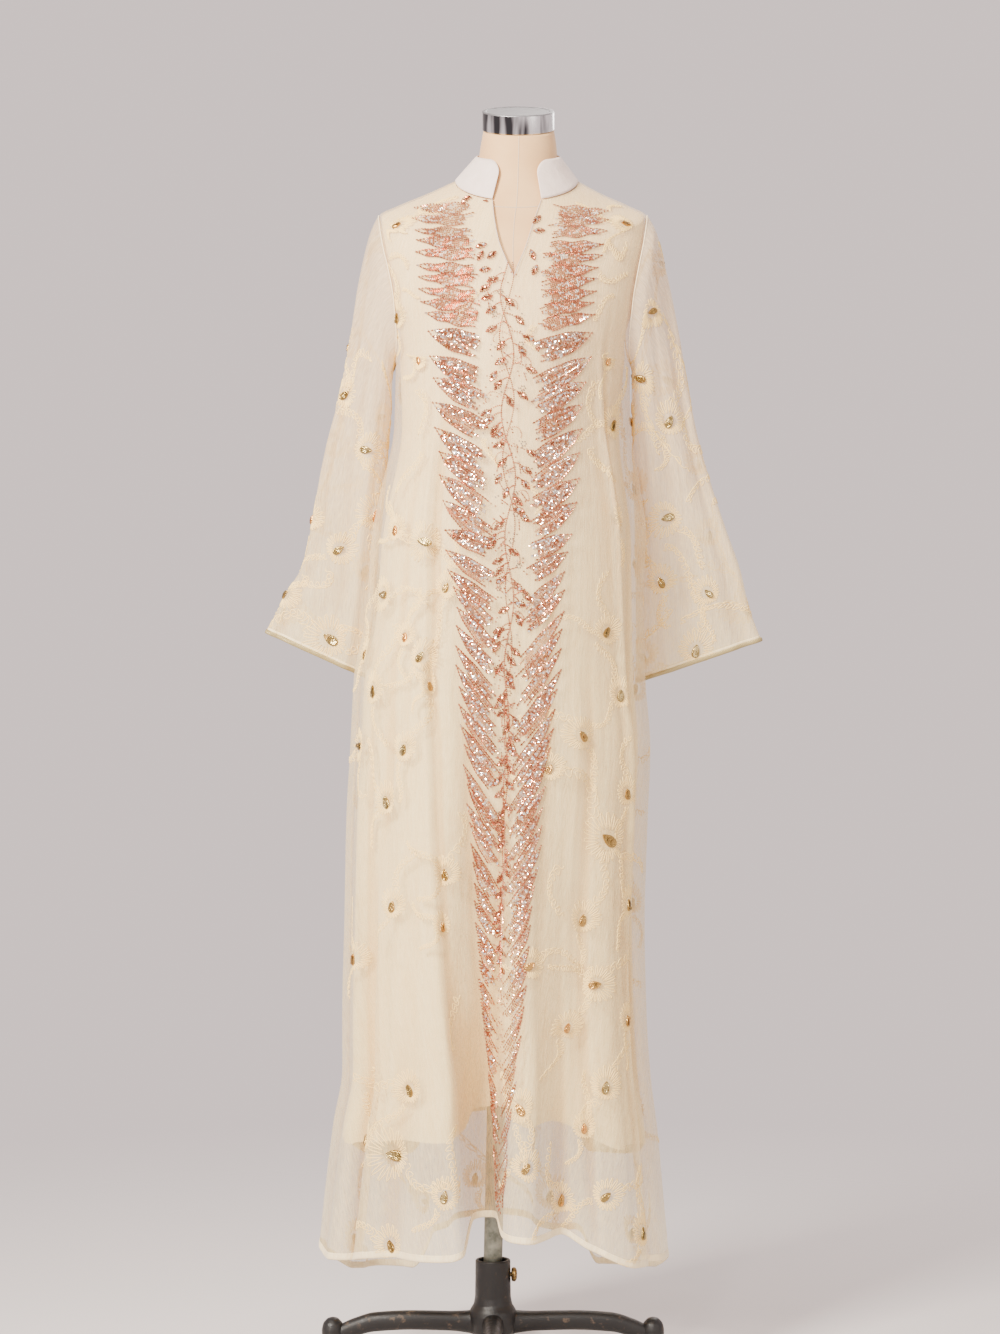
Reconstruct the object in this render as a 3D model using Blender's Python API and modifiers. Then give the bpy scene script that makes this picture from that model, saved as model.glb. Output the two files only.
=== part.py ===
"""A sequin abaya worn on its limbless dress form and stand.

Metres, +Z up, the front faces -Y. The origin is on the floor, in the middle of the whole part.
The wearer's right is at -X. Every cloth piece is an open surface that a Solidify modifier
thickens outwards, so pieces that meet at a convex seam never touch.
"""

import math

import bmesh
import bpy
import numpy as np

# Cloth walls and the gaps between pieces
CLOTH_WALL = 0.0012
LINING_WALL = 0.0010
SEAM_GAP = 0.0003

# The form leans a little to +X as it goes up, and the pole leans with it
AXIS_FOOT_X = -0.0286
AXIS_FOOT_Z = 0.1435
LEAN = 0.0222

# Heights along the side of the garment
NECK_LEVEL = 1.6096
SHOULDER_LEVEL = 1.5634
UNDERARM_LEVEL = 1.3650
HEM_LEVEL = 0.1550
LINING_HEM_LEVEL = 0.3100
HEM_SHAPE_TOP = 0.8000
ARMHOLE_HALF_DEPTH = 0.048

# Rows and columns of the panels
YOKE_ROWS = 4
ARMHOLE_ROWS = 8
SKIRT_ROWS = 19
FRONT_COLUMNS = 30
BACK_COLUMNS = 22
LINING_SKIRT_ROWS = 10
LINING_FRONT_COLUMNS = 20
LINING_BACK_COLUMNS = 16
SLEEVE_SIDES = 2 * ARMHOLE_ROWS

# V slit at the front neck
SLIT_HALF_WIDTH = 0.0328
SLIT_END_ROW = 3

# The chiffon body, one row for each level from the neckline to the hem
BODY = {
    "columns": ("level", "left", "right", "front", "back", "front_drop", "back_drop"),
    "rows": (
        (1.6096, -0.0800, 0.0870, 0.0700, 0.0620, 0.0376, -0.0120),
        (1.5920, -0.1190, 0.1200, 0.0800, 0.0700, 0.0430, 0.0000),
        (1.5760, -0.1580, 0.1560, 0.0900, 0.0780, 0.0480, 0.0140),
        (1.5634, -0.1818, 0.1788, 0.0980, 0.0850, 0.0500, 0.0200),
        (1.5300, -0.1856, 0.1826, 0.1060, 0.0960, 0.0430, 0.0180),
        (1.5022, -0.1826, 0.1806, 0.1120, 0.1020, 0.0360, 0.0120),
        (1.4437, -0.1720, 0.1700, 0.1220, 0.1090, 0.0200, 0.0050),
        (1.3743, -0.1600, 0.1560, 0.1320, 0.1100, 0.0080, 0.0000),
        (1.2791, -0.1618, 0.1530, 0.1360, 0.1100, 0.0000, 0.0000),
        (1.1744, -0.1836, 0.1673, 0.1420, 0.1180, 0.0000, 0.0000),
        (1.1295, -0.1918, 0.1727, 0.1440, 0.1220, 0.0000, 0.0000),
        (1.0153, -0.2013, 0.1741, 0.1500, 0.1310, 0.0000, 0.0000),
        (0.9405, -0.2162, 0.1754, 0.1530, 0.1370, 0.0000, 0.0000),
        (0.8398, -0.2217, 0.1822, 0.1570, 0.1460, 0.0000, 0.0000),
        (0.7406, -0.2271, 0.1782, 0.1600, 0.1540, 0.0000, 0.0000),
        (0.6018, -0.2298, 0.1741, 0.1640, 0.1630, 0.0000, 0.0000),
        (0.4794, -0.2326, 0.1768, 0.1680, 0.1700, 0.0000, 0.0000),
        (0.3992, -0.2326, 0.1822, 0.1710, 0.1750, 0.0000, 0.0000),
        (0.3230, -0.2448, 0.1918, 0.1740, 0.1800, 0.0000, 0.0000),
        (0.2360, -0.2557, 0.1999, 0.1770, 0.1840, 0.0000, 0.0000),
        (0.1550, -0.2640, 0.2080, 0.1800, 0.1870, 0.0000, 0.0000),
    ),
}

# The form's neck, from the seat of the cap down to where the neckline lies
NECK = {
    "columns": ("level", "left", "right", "front", "back", "front_drop", "back_drop"),
    "rows": (
        (1.6790, -0.0415, 0.0545, 0.0480, 0.0480, 0.0156, -0.0156),
        (1.6600, -0.0450, 0.0575, 0.0510, 0.0510, 0.0150, -0.0140),
        (1.6436, -0.0475, 0.0590, 0.0530, 0.0530, 0.0150, -0.0120),
        (1.6280, -0.0530, 0.0635, 0.0560, 0.0550, 0.0200, -0.0110),
    ),
}

# How far inside the chiffon the lining and the form lie, and how much of the form's own lean
# the hanging cloth doesn't follow
INSIDE = {
    "columns": ("level", "lining", "form", "own_lean"),
    "rows": (
        (1.6096, 0.0020, 0.0030, 0.0),
        (1.5800, 0.0027, 0.0046, 0.0),
        (1.5634, 0.0030, 0.0056, 0.0),
        (1.5022, 0.0036, 0.0070, 0.0),
        (1.4400, 0.0036, 0.0074, 0.0),
        (1.3743, 0.0060, 0.0100, 0.0),
        (1.2791, 0.0110, 0.0220, 0.5),
        (1.1744, 0.0150, 0.0520, 1.0),
        (1.1000, 0.0150, 0.0560, 1.0),
        (1.0153, 0.0150, 0.0400, 1.0),
        (0.9405, 0.0150, 0.0340, 1.0),
        (0.8600, 0.0150, 0.0420, 1.0),
    ),
}
FORM_COLUMNS = 26
FORM_LOW_LEVELS = (1.31, 1.25, 1.19, 1.13, 1.07, 1.01, 0.94, 0.86)

# Hem height round the garment: 0 is the front, 90 the side at +X, 180 the back
HEM = {
    "columns": ("angle", "height"),
    "rows": (
        (-180.0, 0.172),
        (-155.0, 0.160),
        (-149.0, 0.104),
        (-120.0, 0.116),
        (-104.0, 0.145),
        (-90.0, 0.166),
        (-76.0, 0.157),
        (-60.0, 0.160),
        (-45.0, 0.172),
        (-30.0, 0.178),
        (-13.0, 0.181),
        (-7.6, 0.194),
        (-5.0, 0.220),
        (1.5, 0.222),
        (4.0, 0.205),
        (12.0, 0.202),
        (24.0, 0.206),
        (34.0, 0.184),
        (50.0, 0.158),
        (90.0, 0.150),
        (110.0, 0.122),
        (143.0, 0.108),
        (150.0, 0.158),
        (180.0, 0.172),
    ),
}

# Largest folds. Depth is at the hem, positive outwards. Widths are to each side, in degrees
FOLDS = {
    "columns": (
        "top_angle",
        "hem_angle",
        "width_before",
        "width_after",
        "top_widen",
        "depth",
        "start",
        "power",
        "squareness",
    ),
    "rows": (
        (-4.0, -1.8, 5.4, 5.4, 3.4, -0.078, 1.25, 1.9, 4.0),
        (-40.0, -15.0, 20.0, 8.0, 1.6, 0.028, 1.32, 0.9, 2.0),
        (16.0, 11.0, 6.0, 7.0, 1.5, 0.018, 0.95, 1.3, 2.0),
        (34.0, 25.0, 7.0, 8.0, 1.2, -0.026, 0.90, 1.2, 2.0),
        (56.0, 48.0, 9.0, 8.0, 1.0, 0.012, 1.00, 0.8, 2.0),
        (66.0, 66.0, 5.0, 5.0, 1.0, -0.020, 1.30, 0.5, 2.0),
        (-28.0, -34.0, 7.0, 7.0, 1.0, -0.014, 0.80, 1.0, 2.0),
        (-44.0, -60.0, 5.5, 5.5, 1.0, -0.028, 0.90, 0.7, 2.0),
        (118.0, 118.0, 9.0, 9.0, 1.0, 0.010, 0.95, 1.0, 2.0),
        (140.0, 137.0, 9.0, 9.0, 1.0, 0.018, 0.95, 1.0, 2.0),
        (162.0, 158.0, 7.5, 8.0, 1.2, -0.048, 1.10, 1.3, 4.0),
        (180.0, 179.0, 8.0, 8.0, 1.0, 0.012, 1.00, 1.0, 2.0),
        (200.0, 203.0, 8.0, 7.5, 1.2, -0.050, 1.10, 1.3, 4.0),
        (218.0, 220.0, 7.0, 9.0, 1.0, 0.018, 0.95, 1.0, 2.0),
        (243.0, 243.0, 9.0, 9.0, 1.0, -0.012, 0.95, 1.0, 2.0),
    ),
}

# Each sleeve hangs flattened beside the body: its outer and inner edge, its middle and half depth
SLEEVE_RIGHT = {
    "columns": ("outer_x", "outer_z", "inner_x", "inner_z", "middle_y", "half_depth"),
    "rows": (
        (-0.1930, 1.5440, -0.1660, 1.3480, 0.002, 0.048),
        (-0.2100, 1.4763, -0.1670, 1.3230, 0.008, 0.045),
        (-0.2240, 1.3866, -0.1690, 1.2880, 0.018, 0.040),
        (-0.2394, 1.3145, -0.1730, 1.2430, 0.028, 0.035),
        (-0.2540, 1.2600, -0.1770, 1.2020, 0.036, 0.032),
        (-0.2650, 1.2090, -0.1810, 1.1600, 0.044, 0.030),
        (-0.2761, 1.1472, -0.1860, 1.0980, 0.052, 0.028),
        (-0.2897, 1.0887, -0.1890, 1.0380, 0.060, 0.027),
        (-0.3114, 1.0534, -0.1930, 0.9860, 0.067, 0.026),
        (-0.3416, 0.9962, -0.1985, 0.9320, 0.074, 0.026),
    ),
}
SLEEVE_LEFT = {
    "columns": ("outer_x", "outer_z", "inner_x", "inner_z", "middle_y", "half_depth"),
    "rows": (
        (0.1900, 1.5480, 0.1620, 1.3480, 0.002, 0.048),
        (0.2050, 1.4950, 0.1610, 1.3230, 0.008, 0.045),
        (0.2240, 1.4050, 0.1620, 1.2880, 0.018, 0.040),
        (0.2395, 1.3180, 0.1630, 1.2430, 0.028, 0.035),
        (0.2540, 1.2520, 0.1645, 1.2020, 0.036, 0.032),
        (0.2690, 1.2020, 0.1660, 1.1600, 0.044, 0.030),
        (0.2900, 1.1400, 0.1680, 1.0980, 0.052, 0.028),
        (0.3114, 1.0806, 0.1690, 1.0380, 0.060, 0.027),
        (0.3223, 1.0362, 0.1700, 0.9820, 0.067, 0.026),
        (0.3414, 0.9854, 0.1710, 0.9280, 0.074, 0.026),
    ),
}
TRIM_HEIGHT = 0.006

# Stand collar
COLLAR_COLUMNS = 22
COLLAR_ROWS = 3
COLLAR_WALL = 0.0016
COLLAR_CLEARANCE = 0.0022
COLLAR_TOP = 1.6440
COLLAR_CORNER = 20.0
COLLAR_END_LIFT = 0.62

# Neck cap, a short drum on the tilted seat
CAP_RADIUS = 0.0490
CAP_HEIGHT = 0.0260
CAP_TILT = math.radians(18.0)

# Pole and its hole in the form
POLE_RADIUS = 0.0127
POLE_HOLE_RADIUS = 0.0133
POLE_HOLE_DEPTH = 0.060

# Cast base
HUB_RADIUS = 0.0238
SOCKET_RADIUS = 0.0195
HUB_TOP = 0.1450
SOCKET_FLOOR = 0.0620
CUTTER_PROUD = 0.0010
ARM_REACH = 0.2176
BOSS_RADIUS = 0.0150
BOSS_TOP = 0.0670
FOOT_TOP = 0.0180
FOOT_RADIUS = 0.0160
SCREW_LEVEL = 0.1245
SCREW_RADIUS = 0.0030
SCREW_HOLE_RADIUS = 0.0034
SCREW_HEAD_RADIUS = 0.0098


def table(source, name):
    """One named column of a table, as an array."""
    return np.array([row[source["columns"].index(name)] for row in source["rows"]])


def smooth_read(places, values, wanted):
    """Cubic curve through the table's rows that never swings past them: each row's slope is the
    harmonic mean of the slopes beside it, or level at a peak."""
    order = np.argsort(places)
    x, y = places[order], values[order]
    rise = np.diff(y) / np.diff(x)
    product = rise[1:] * rise[:-1]
    total = np.where(np.abs(rise[1:] + rise[:-1]) > 1e-12, rise[1:] + rise[:-1], 1.0)
    inner = np.where(product > 0, 2 * product / total, 0.0)
    slope = np.concatenate([rise[:1], inner, rise[-1:]])
    wanted = np.clip(wanted, x[0], x[-1])
    i = np.clip(np.searchsorted(x, wanted) - 1, 0, len(x) - 2)
    step = x[i + 1] - x[i]
    s = (wanted - x[i]) / step
    start = (2 * s**3 - 3 * s**2 + 1) * y[i] + (s**3 - 2 * s**2 + s) * step * slope[i]
    end = (3 * s**2 - 2 * s**3) * y[i + 1] + (s**3 - s**2) * step * slope[i + 1]
    return start + end


def read(source, name, level):
    """Value of a named column at any level."""
    return smooth_read(table(source, source["columns"][0]), table(source, name), level)


def smooth_step(s):
    """0 to 1 with flat ends."""
    s = np.clip(s, 0.0, 1.0)
    return s * s * (3 - 2 * s)


def axis_x(z):
    """Where the leaning axis of the form and pole is at a height."""
    return AXIS_FOOT_X + (z - AXIS_FOOT_Z) * LEAN


def ring_point(source, level, angle):
    """Point on a ring: half an ellipse in front, half behind, sunk towards the front and back."""
    left, right = read(source, "left", level), read(source, "right", level)
    front, back = read(source, "front", level), read(source, "back", level)
    front_drop, back_drop = read(source, "front_drop", level), read(source, "back_drop", level)
    ahead = np.cos(angle)
    depth = np.where(ahead > 0, front, back)
    drop = np.where(ahead > 0, front_drop, back_drop)
    x = (left + right) / 2 + (right - left) / 2 * np.sin(angle)
    return np.stack([x, -depth * ahead, level - drop * np.abs(ahead)], axis=-1)


def fold_push(level, angle):
    """Sum of the folds: each is a bell across the cloth, steeper if squarer, deeper to the hem."""
    total = np.zeros(np.broadcast(level, angle).shape)
    for top, hem, before, after, widen, depth, start, power, square in FOLDS["rows"]:
        down = np.clip((start - level) / (start - HEM_LEVEL), 0.0, 1.2)
        middle = top + (hem - top) * down
        away = (np.degrees(angle) - middle + 180.0) % 360.0 - 180.0
        width = np.where(away < 0, before, after) * (widen + (1 - widen) * np.minimum(down, 1.0))
        total = total + depth * down**power * np.exp(-(np.abs(away / width) ** square))
    return total


def body_point(level, angle):
    """The chiffon's inner face: ring, folds pushed straight out, hem lifted and dropped."""
    level, angle = np.broadcast_arrays(np.asarray(level, float), np.asarray(angle, float))
    point = ring_point(BODY, level, angle)
    half_width = (read(BODY, "right", level) - read(BODY, "left", level)) / 2
    depth = np.where(np.cos(angle) > 0, read(BODY, "front", level), read(BODY, "back", level))
    out = np.stack([np.sin(angle) / half_width, -np.cos(angle) / depth], axis=-1)
    out = out / np.linalg.norm(out, axis=-1, keepdims=True)
    point[..., :2] += out * fold_push(level, angle)[..., None]
    around = (np.degrees(angle) + 180.0) % 360.0 - 180.0
    hem = smooth_read(table(HEM, "angle"), table(HEM, "height"), around)
    share = smooth_step((HEM_SHAPE_TOP - level) / (HEM_SHAPE_TOP - HEM_LEVEL))
    point[..., 2] += (hem - HEM_LEVEL) * share
    return point


def body_skin(level, angle, offset):
    """The body's surface moved along its own outward direction."""
    level, angle = np.broadcast_arrays(np.asarray(level, float), np.asarray(angle, float))
    down = body_point(level - 0.001, angle) - body_point(level + 0.001, angle)
    along = body_point(level, angle + 0.02) - body_point(level, angle - 0.02)
    normal = np.cross(down, along)
    normal /= np.linalg.norm(normal, axis=-1, keepdims=True)
    return body_point(level, angle) + normal * np.asarray(offset)[..., None]


def armhole_angle(level, depths):
    """How far round each half of the body the cloth reaches: to the side, or to the armhole."""
    middle = (SHOULDER_LEVEL + UNDERARM_LEVEL) / 2
    half_height = (SHOULDER_LEVEL - UNDERARM_LEVEL) / 2
    inside = np.clip(1 - ((level - middle) / half_height) ** 2, 0.0, 1.0)
    return np.arccos(ARMHOLE_HALF_DEPTH * np.sqrt(inside) / depths)


def panel_levels(hem_level, skirt_rows):
    """Side heights of a panel's rows: yoke, armhole (closer at its ends), then skirt."""
    middle = (SHOULDER_LEVEL + UNDERARM_LEVEL) / 2
    half_height = (SHOULDER_LEVEL - UNDERARM_LEVEL) / 2
    yoke = np.linspace(NECK_LEVEL, SHOULDER_LEVEL, YOKE_ROWS + 1)[:-1]
    armhole = middle + half_height * np.cos(np.linspace(0, math.pi, ARMHOLE_ROWS + 1))
    skirt = np.linspace(UNDERARM_LEVEL, hem_level, skirt_rows + 1)[1:]
    return np.concatenate([yoke, armhole, skirt])


def even_columns(level, centre, count):
    """Column angles from -90 to 90 round a centre, evenly spaced along the cloth itself."""
    fine = np.linspace(-math.pi / 2, math.pi / 2, 721)
    run = body_point(level, fine + centre)
    length = np.concatenate([[0.0], np.cumsum(np.linalg.norm(np.diff(run, axis=0), axis=1))])
    return np.interp(np.linspace(0, length[-1], count + 1), length, fine)


def panel_angles(levels, centre, count, gap):
    """Angle of every column at every row: even at the top, following the folds lower down."""
    depth_name = "front" if centre == 0 else "back"
    reach = armhole_angle(levels, read(BODY, depth_name, levels))
    reach = reach - gap / 2 / read(BODY, depth_name, levels)
    plain = np.linspace(-math.pi / 2, math.pi / 2, count + 1)
    folded = even_columns(HEM_LEVEL, centre, count)
    share = smooth_step((1.3 - levels) / 0.6)[:, None]
    columns = plain * (1 - share) + folded * share
    return centre + columns / (math.pi / 2) * reach[:, None]


def grid_faces(rows, columns, skip_columns=(), closed=False):
    """Quads of a grid, facing outwards for rows that go down and columns that turn to +X."""
    last = columns if closed else columns - 1
    faces = []
    for r in range(rows - 1):
        for c in range(last):
            if c in skip_columns:
                continue
            n = (c + 1) % columns
            a, b = r * columns + c, r * columns + n
            faces.append((a, a + columns, b + columns, b))
    return faces


def add_object(name, points, faces, colour, roughness, metallic=0.0):
    """A named mesh object with its own Principled material."""
    mesh = bpy.data.meshes.new(name)
    mesh.from_pydata([tuple(p) for p in np.asarray(points).reshape(-1, 3)], [], faces)
    piece = bpy.data.objects.new(name, mesh)
    parts.objects.link(piece)
    bm = bmesh.new()
    bm.from_mesh(mesh)
    bmesh.ops.remove_doubles(bm, verts=bm.verts, dist=0.00001)
    bm.to_mesh(mesh)
    bm.free()
    mesh.shade_smooth()
    finish(piece, colour, roughness, metallic)
    return piece


def finish(piece, colour, roughness, metallic=0.0):
    """Gives a piece its own material."""
    material = bpy.data.materials.new(piece.name)
    material.use_nodes = True
    shader = material.node_tree.nodes["Principled BSDF"]
    shader.inputs["Base Color"].default_value = (*colour, 1.0)
    shader.inputs["Roughness"].default_value = roughness
    shader.inputs["Metallic"].default_value = metallic
    piece.data.materials.append(material)


def thicken(piece, wall):
    """Cloth wall, grown outwards from the modelled face."""
    solidify = piece.modifiers.new("wall", "SOLIDIFY")
    solidify.thickness = wall
    solidify.offset = 1.0


def make_front(name, hem_level, skirt_rows, columns, gap, inset, wall, colour):
    """Front panel or front lining: a grid whose middle column opens into the V slit."""
    levels = panel_levels(hem_level, skirt_rows)
    angles = panel_angles(levels, 0.0, columns, gap)
    half = columns // 2
    slit_level = levels[YOKE_ROWS + SLIT_END_ROW]
    opening = np.clip((levels - slit_level) / (NECK_LEVEL - slit_level), 0.0, 1.0) * SLIT_HALF_WIDTH
    half_width = (read(BODY, "right", levels) - read(BODY, "left", levels)) / 2
    slit = np.arcsin(opening / half_width)[:, None]
    first, centre, last = angles[:, :1], angles[:, half : half + 1], angles[:, -1:]
    left = first + (angles[:, : half + 1] - first) * (-slit - first) / (centre - first)
    right = last + (angles[:, half:] - last) * (slit - last) / (centre - last)
    both = np.concatenate([left, right], axis=1)
    points = body_skin(levels[:, None], both, -inset(levels)[:, None] * np.ones_like(both))
    faces = grid_faces(len(levels), columns + 2, skip_columns=(half,))
    piece = add_object(name, points, faces, colour, 0.75)
    thicken(piece, wall)
    return piece


def make_back(name, hem_level, skirt_rows, columns, gap, inset, wall, colour):
    """Back panel or back lining: a plain grid from seam to seam."""
    levels = panel_levels(hem_level, skirt_rows)
    angles = panel_angles(levels, math.pi, columns, gap)
    points = body_skin(levels[:, None], angles, -inset(levels)[:, None] * np.ones_like(angles))
    piece = add_object(name, points, grid_faces(len(levels), columns + 1), colour, 0.75)
    thicken(piece, wall)
    return piece


def no_inset(levels):
    """The chiffon lies on the body's surface itself."""
    return np.zeros_like(levels)


def lining_inset(levels):
    """The lining lies just inside at the shoulders, and further inside where the skirt hangs."""
    return read(INSIDE, "lining", levels)


def sleeve_rings(sleeve, side):
    """Rings of a sleeve: the armhole edge first, then flattened ovals down to the hem."""
    turn = np.linspace(0, 2 * math.pi, SLEEVE_SIDES, endpoint=False)
    middle = (SHOULDER_LEVEL + UNDERARM_LEVEL) / 2
    level = middle + (SHOULDER_LEVEL - UNDERARM_LEVEL) / 2 * np.cos(turn)
    in_front = np.sin(turn) >= 0
    depth = np.where(in_front, read(BODY, "front", level), read(BODY, "back", level))
    reach = armhole_angle(level, depth)
    angle = np.where(in_front, side * reach, math.pi - side * reach)
    clearance = CLOTH_WALL + SEAM_GAP / 2 + CLOTH_WALL * (1 - np.cos(turn)) / 2
    rings = [body_skin(level, angle, clearance) + np.array([side * SEAM_GAP, 0.0, 0.0])]
    for outer_x, outer_z, inner_x, inner_z, middle_y, half_depth in sleeve["rows"]:
        x = (outer_x + inner_x) / 2 + (outer_x - inner_x) / 2 * np.cos(turn)
        y = middle_y - half_depth * np.sin(turn)
        z = (outer_z + inner_z) / 2 + (outer_z - inner_z) / 2 * np.cos(turn)
        rings.append(np.stack([x, y, z], axis=-1))
    return np.array(rings)


def make_sleeve(name, sleeve, side, colour):
    """Sleeve tube, open at the armhole and at the hem."""
    rings = sleeve_rings(sleeve, side)
    if side > 0:
        rings = rings[:, ::-1]
    rings = refine_rings(rings)
    piece = add_object(name, rings, grid_faces(len(rings), SLEEVE_SIDES, closed=True), colour, 0.75)
    thicken(piece, CLOTH_WALL)
    return piece


def refine_rings(rings):
    """Adds a ring between each two, on a smooth curve through them."""
    places = np.arange(len(rings), dtype=float)
    wanted = np.linspace(0, len(rings) - 1, 2 * len(rings) - 1)
    flat = rings.reshape(len(rings), -1)
    columns = [smooth_read(places, flat[:, c], wanted) for c in range(flat.shape[1])]
    return np.stack(columns, axis=1).reshape(len(wanted), -1, 3)


def make_trim(name, sleeve, side, colour):
    """Edging round a sleeve's hem: the hem's own last rings, moved out past the cloth."""
    rings = sleeve_rings(sleeve, side)
    if side > 0:
        rings = rings[:, ::-1]
    last = rings[-1]
    up = rings[-2] - rings[-1]
    up /= np.linalg.norm(up, axis=-1, keepdims=True)
    around = np.roll(last, -1, axis=0) - np.roll(last, 1, axis=0)
    out = np.cross(around, up)
    out /= np.linalg.norm(out, axis=-1, keepdims=True)
    away = out * (CLOTH_WALL + 3 * SEAM_GAP)
    band = np.array([last + up * TRIM_HEIGHT + away, last + away])
    piece = add_object(name, band, grid_faces(2, SLEEVE_SIDES, closed=True), colour, 0.5)
    thicken(piece, CLOTH_WALL)
    return piece


def form_point(level, angle):
    """The form inside the garment: the body's surface moved in, on the leaning axis lower down."""
    plain = ring_point(BODY, level, angle)
    down = ring_point(BODY, level - 0.001, angle) - ring_point(BODY, level + 0.001, angle)
    along = ring_point(BODY, level, angle + 0.02) - ring_point(BODY, level, angle - 0.02)
    normal = np.cross(down, along)
    normal /= np.linalg.norm(normal, axis=-1, keepdims=True)
    point = plain - normal * read(INSIDE, "form", level)[..., None]
    middle = (read(BODY, "left", level) + read(BODY, "right", level)) / 2
    point[..., 0] += (axis_x(level) - middle) * read(INSIDE, "own_lean", level)
    return point


def make_form():
    """Torso and neck as one closed solid, with a blind hole for the pole in its underside."""
    turn = np.linspace(-math.pi, math.pi, FORM_COLUMNS, endpoint=False)
    rings = [ring_point(NECK, level * np.ones_like(turn), turn) for level in table(NECK, "level")]
    covered = panel_levels(HEM_LEVEL, SKIRT_ROWS)[: YOKE_ROWS + ARMHOLE_ROWS + 1]
    for level in np.concatenate([covered, FORM_LOW_LEVELS]):
        rings.append(form_point(level * np.ones_like(turn), turn))
    bottom = FORM_LOW_LEVELS[-1]
    rings[-1][:, 2] = bottom
    hole = np.stack([POLE_HOLE_RADIUS * np.sin(turn), -POLE_HOLE_RADIUS * np.cos(turn)], axis=-1)
    for z in (bottom, bottom + POLE_HOLE_DEPTH):
        ring = np.column_stack([hole, np.full(FORM_COLUMNS, z)])
        ring[:, 0] += axis_x(z)
        rings.append(ring)
    rings = np.array(rings)
    faces = grid_faces(len(rings), FORM_COLUMNS, closed=True)
    faces.append(tuple(range(FORM_COLUMNS)))
    faces.append(tuple(reversed(range((len(rings) - 1) * FORM_COLUMNS, len(rings) * FORM_COLUMNS))))
    return add_object("dress_form", rings, faces, (0.74, 0.60, 0.45), 0.85)


def make_collar():
    """Stand collar: from the neckline seam in to the neck, with rounded front corners."""
    neck_half_width = (read(BODY, "right", NECK_LEVEL) - read(BODY, "left", NECK_LEVEL)) / 2
    end = math.asin(SLIT_HALF_WIDTH / neck_half_width)
    angle = np.linspace(end, 2 * math.pi - end, COLLAR_COLUMNS + 1)
    level = np.full_like(angle, NECK_LEVEL)
    seam = body_skin(level, angle, np.zeros_like(angle))
    panel_out = (body_skin(level, angle, np.full_like(angle, CLOTH_WALL)) - seam) / CLOTH_WALL
    neck = ring_point(NECK, np.full_like(angle, COLLAR_TOP), angle)
    middle = axis_x(COLLAR_TOP)
    out = neck - np.array([middle, 0.0, 0.0])
    out[:, 2] = 0
    out /= np.linalg.norm(out, axis=-1, keepdims=True)
    top = neck + out * COLLAR_CLEARANCE
    rise = (top - seam) / np.linalg.norm(top - seam, axis=-1, keepdims=True)
    over_rim = CLOTH_WALL * np.maximum(np.sum(panel_out * rise, axis=-1), 0.0) + 4 * SEAM_GAP
    seam = seam + rise * over_rim[:, None]
    from_end = np.degrees(np.minimum(angle - end, 2 * math.pi - end - angle))
    corner = np.clip(1 - from_end / COLLAR_CORNER, 0.0, 1.0)
    height = 1 - (1 - COLLAR_END_LIFT) * (1 - np.sqrt(1 - corner**2))
    share = np.linspace(1, 0, COLLAR_ROWS + 1)[:, None] * height
    points = seam + (top - seam) * share[..., None]
    faces = grid_faces(COLLAR_ROWS + 1, COLLAR_COLUMNS + 1)
    piece = add_object("collar", points, faces, (0.76, 0.72, 0.72), 0.8)
    thicken(piece, COLLAR_WALL)
    return piece


def turned(name, profile, collection, steps=24):
    """A profile of radius and height, top to bottom, spun round Z with a Screw modifier."""
    mesh = bpy.data.meshes.new(name)
    edges = [(i, i + 1) for i in range(len(profile) - 1)]
    mesh.from_pydata([(r, 0.0, z) for r, z in profile], edges, [])
    piece = bpy.data.objects.new(name, mesh)
    collection.objects.link(piece)
    screw = piece.modifiers.new("turn", "SCREW")
    screw.steps = steps
    screw.render_steps = steps
    screw.use_merge_vertices = True
    screw.merge_threshold = 0.00001
    screw.use_smooth_shade = True
    return piece


def make_cap():
    """Neck cap: a short drum with small rounded rims, tilted forwards like its seat."""
    rim = 0.0015
    profile = (
        (0.0, CAP_HEIGHT),
        (CAP_RADIUS - rim, CAP_HEIGHT),
        (CAP_RADIUS, CAP_HEIGHT - rim),
        (CAP_RADIUS, rim),
        (CAP_RADIUS - rim, 0.0),
        (0.0, 0.0),
    )
    cap = turned("neck_cap", profile, parts, steps=28)
    seat = table(NECK, "level")[0]
    cap.rotation_euler = (CAP_TILT, 0.0, 0.0)
    cap.location = (axis_x(seat), SEAM_GAP * math.sin(-CAP_TILT), seat + 2 * SEAM_GAP)
    finish(cap, (0.62, 0.62, 0.64), 0.12, 1.0)


def make_pole():
    """Steel tube from the socket's floor up into the form."""
    foot = SOCKET_FLOOR + 2 * SEAM_GAP
    top = FORM_LOW_LEVELS[-1] + POLE_HOLE_DEPTH - 2 * SEAM_GAP
    bpy.ops.mesh.primitive_cylinder_add(vertices=24, radius=POLE_RADIUS, depth=top - foot)
    pole = bpy.context.object
    pole.name = "pole"
    middle = (top + foot) / 2
    pole.location = (axis_x(middle), 0.0, middle)
    pole.rotation_euler = (0.0, math.atan(LEAN), 0.0)
    move_to(pole, parts)
    finish(pole, (0.30, 0.31, 0.28), 0.45, 0.9)


def move_to(piece, collection):
    """Takes an object out of the scene's own collection."""
    for other in list(piece.users_collection):
        other.objects.unlink(piece)
    collection.objects.link(piece)


def make_cutter(piece):
    """A helper shape that another piece is cut or joined with."""
    move_to(piece, cutters)
    piece.hide_render = True
    piece.display_type = "WIRE"


def join_shape(piece, other, operation):
    """Exact Boolean with a helper shape."""
    boolean = piece.modifiers.new(operation.lower(), "BOOLEAN")
    boolean.operation = operation
    boolean.object = other
    boolean.solver = "EXACT"


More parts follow.
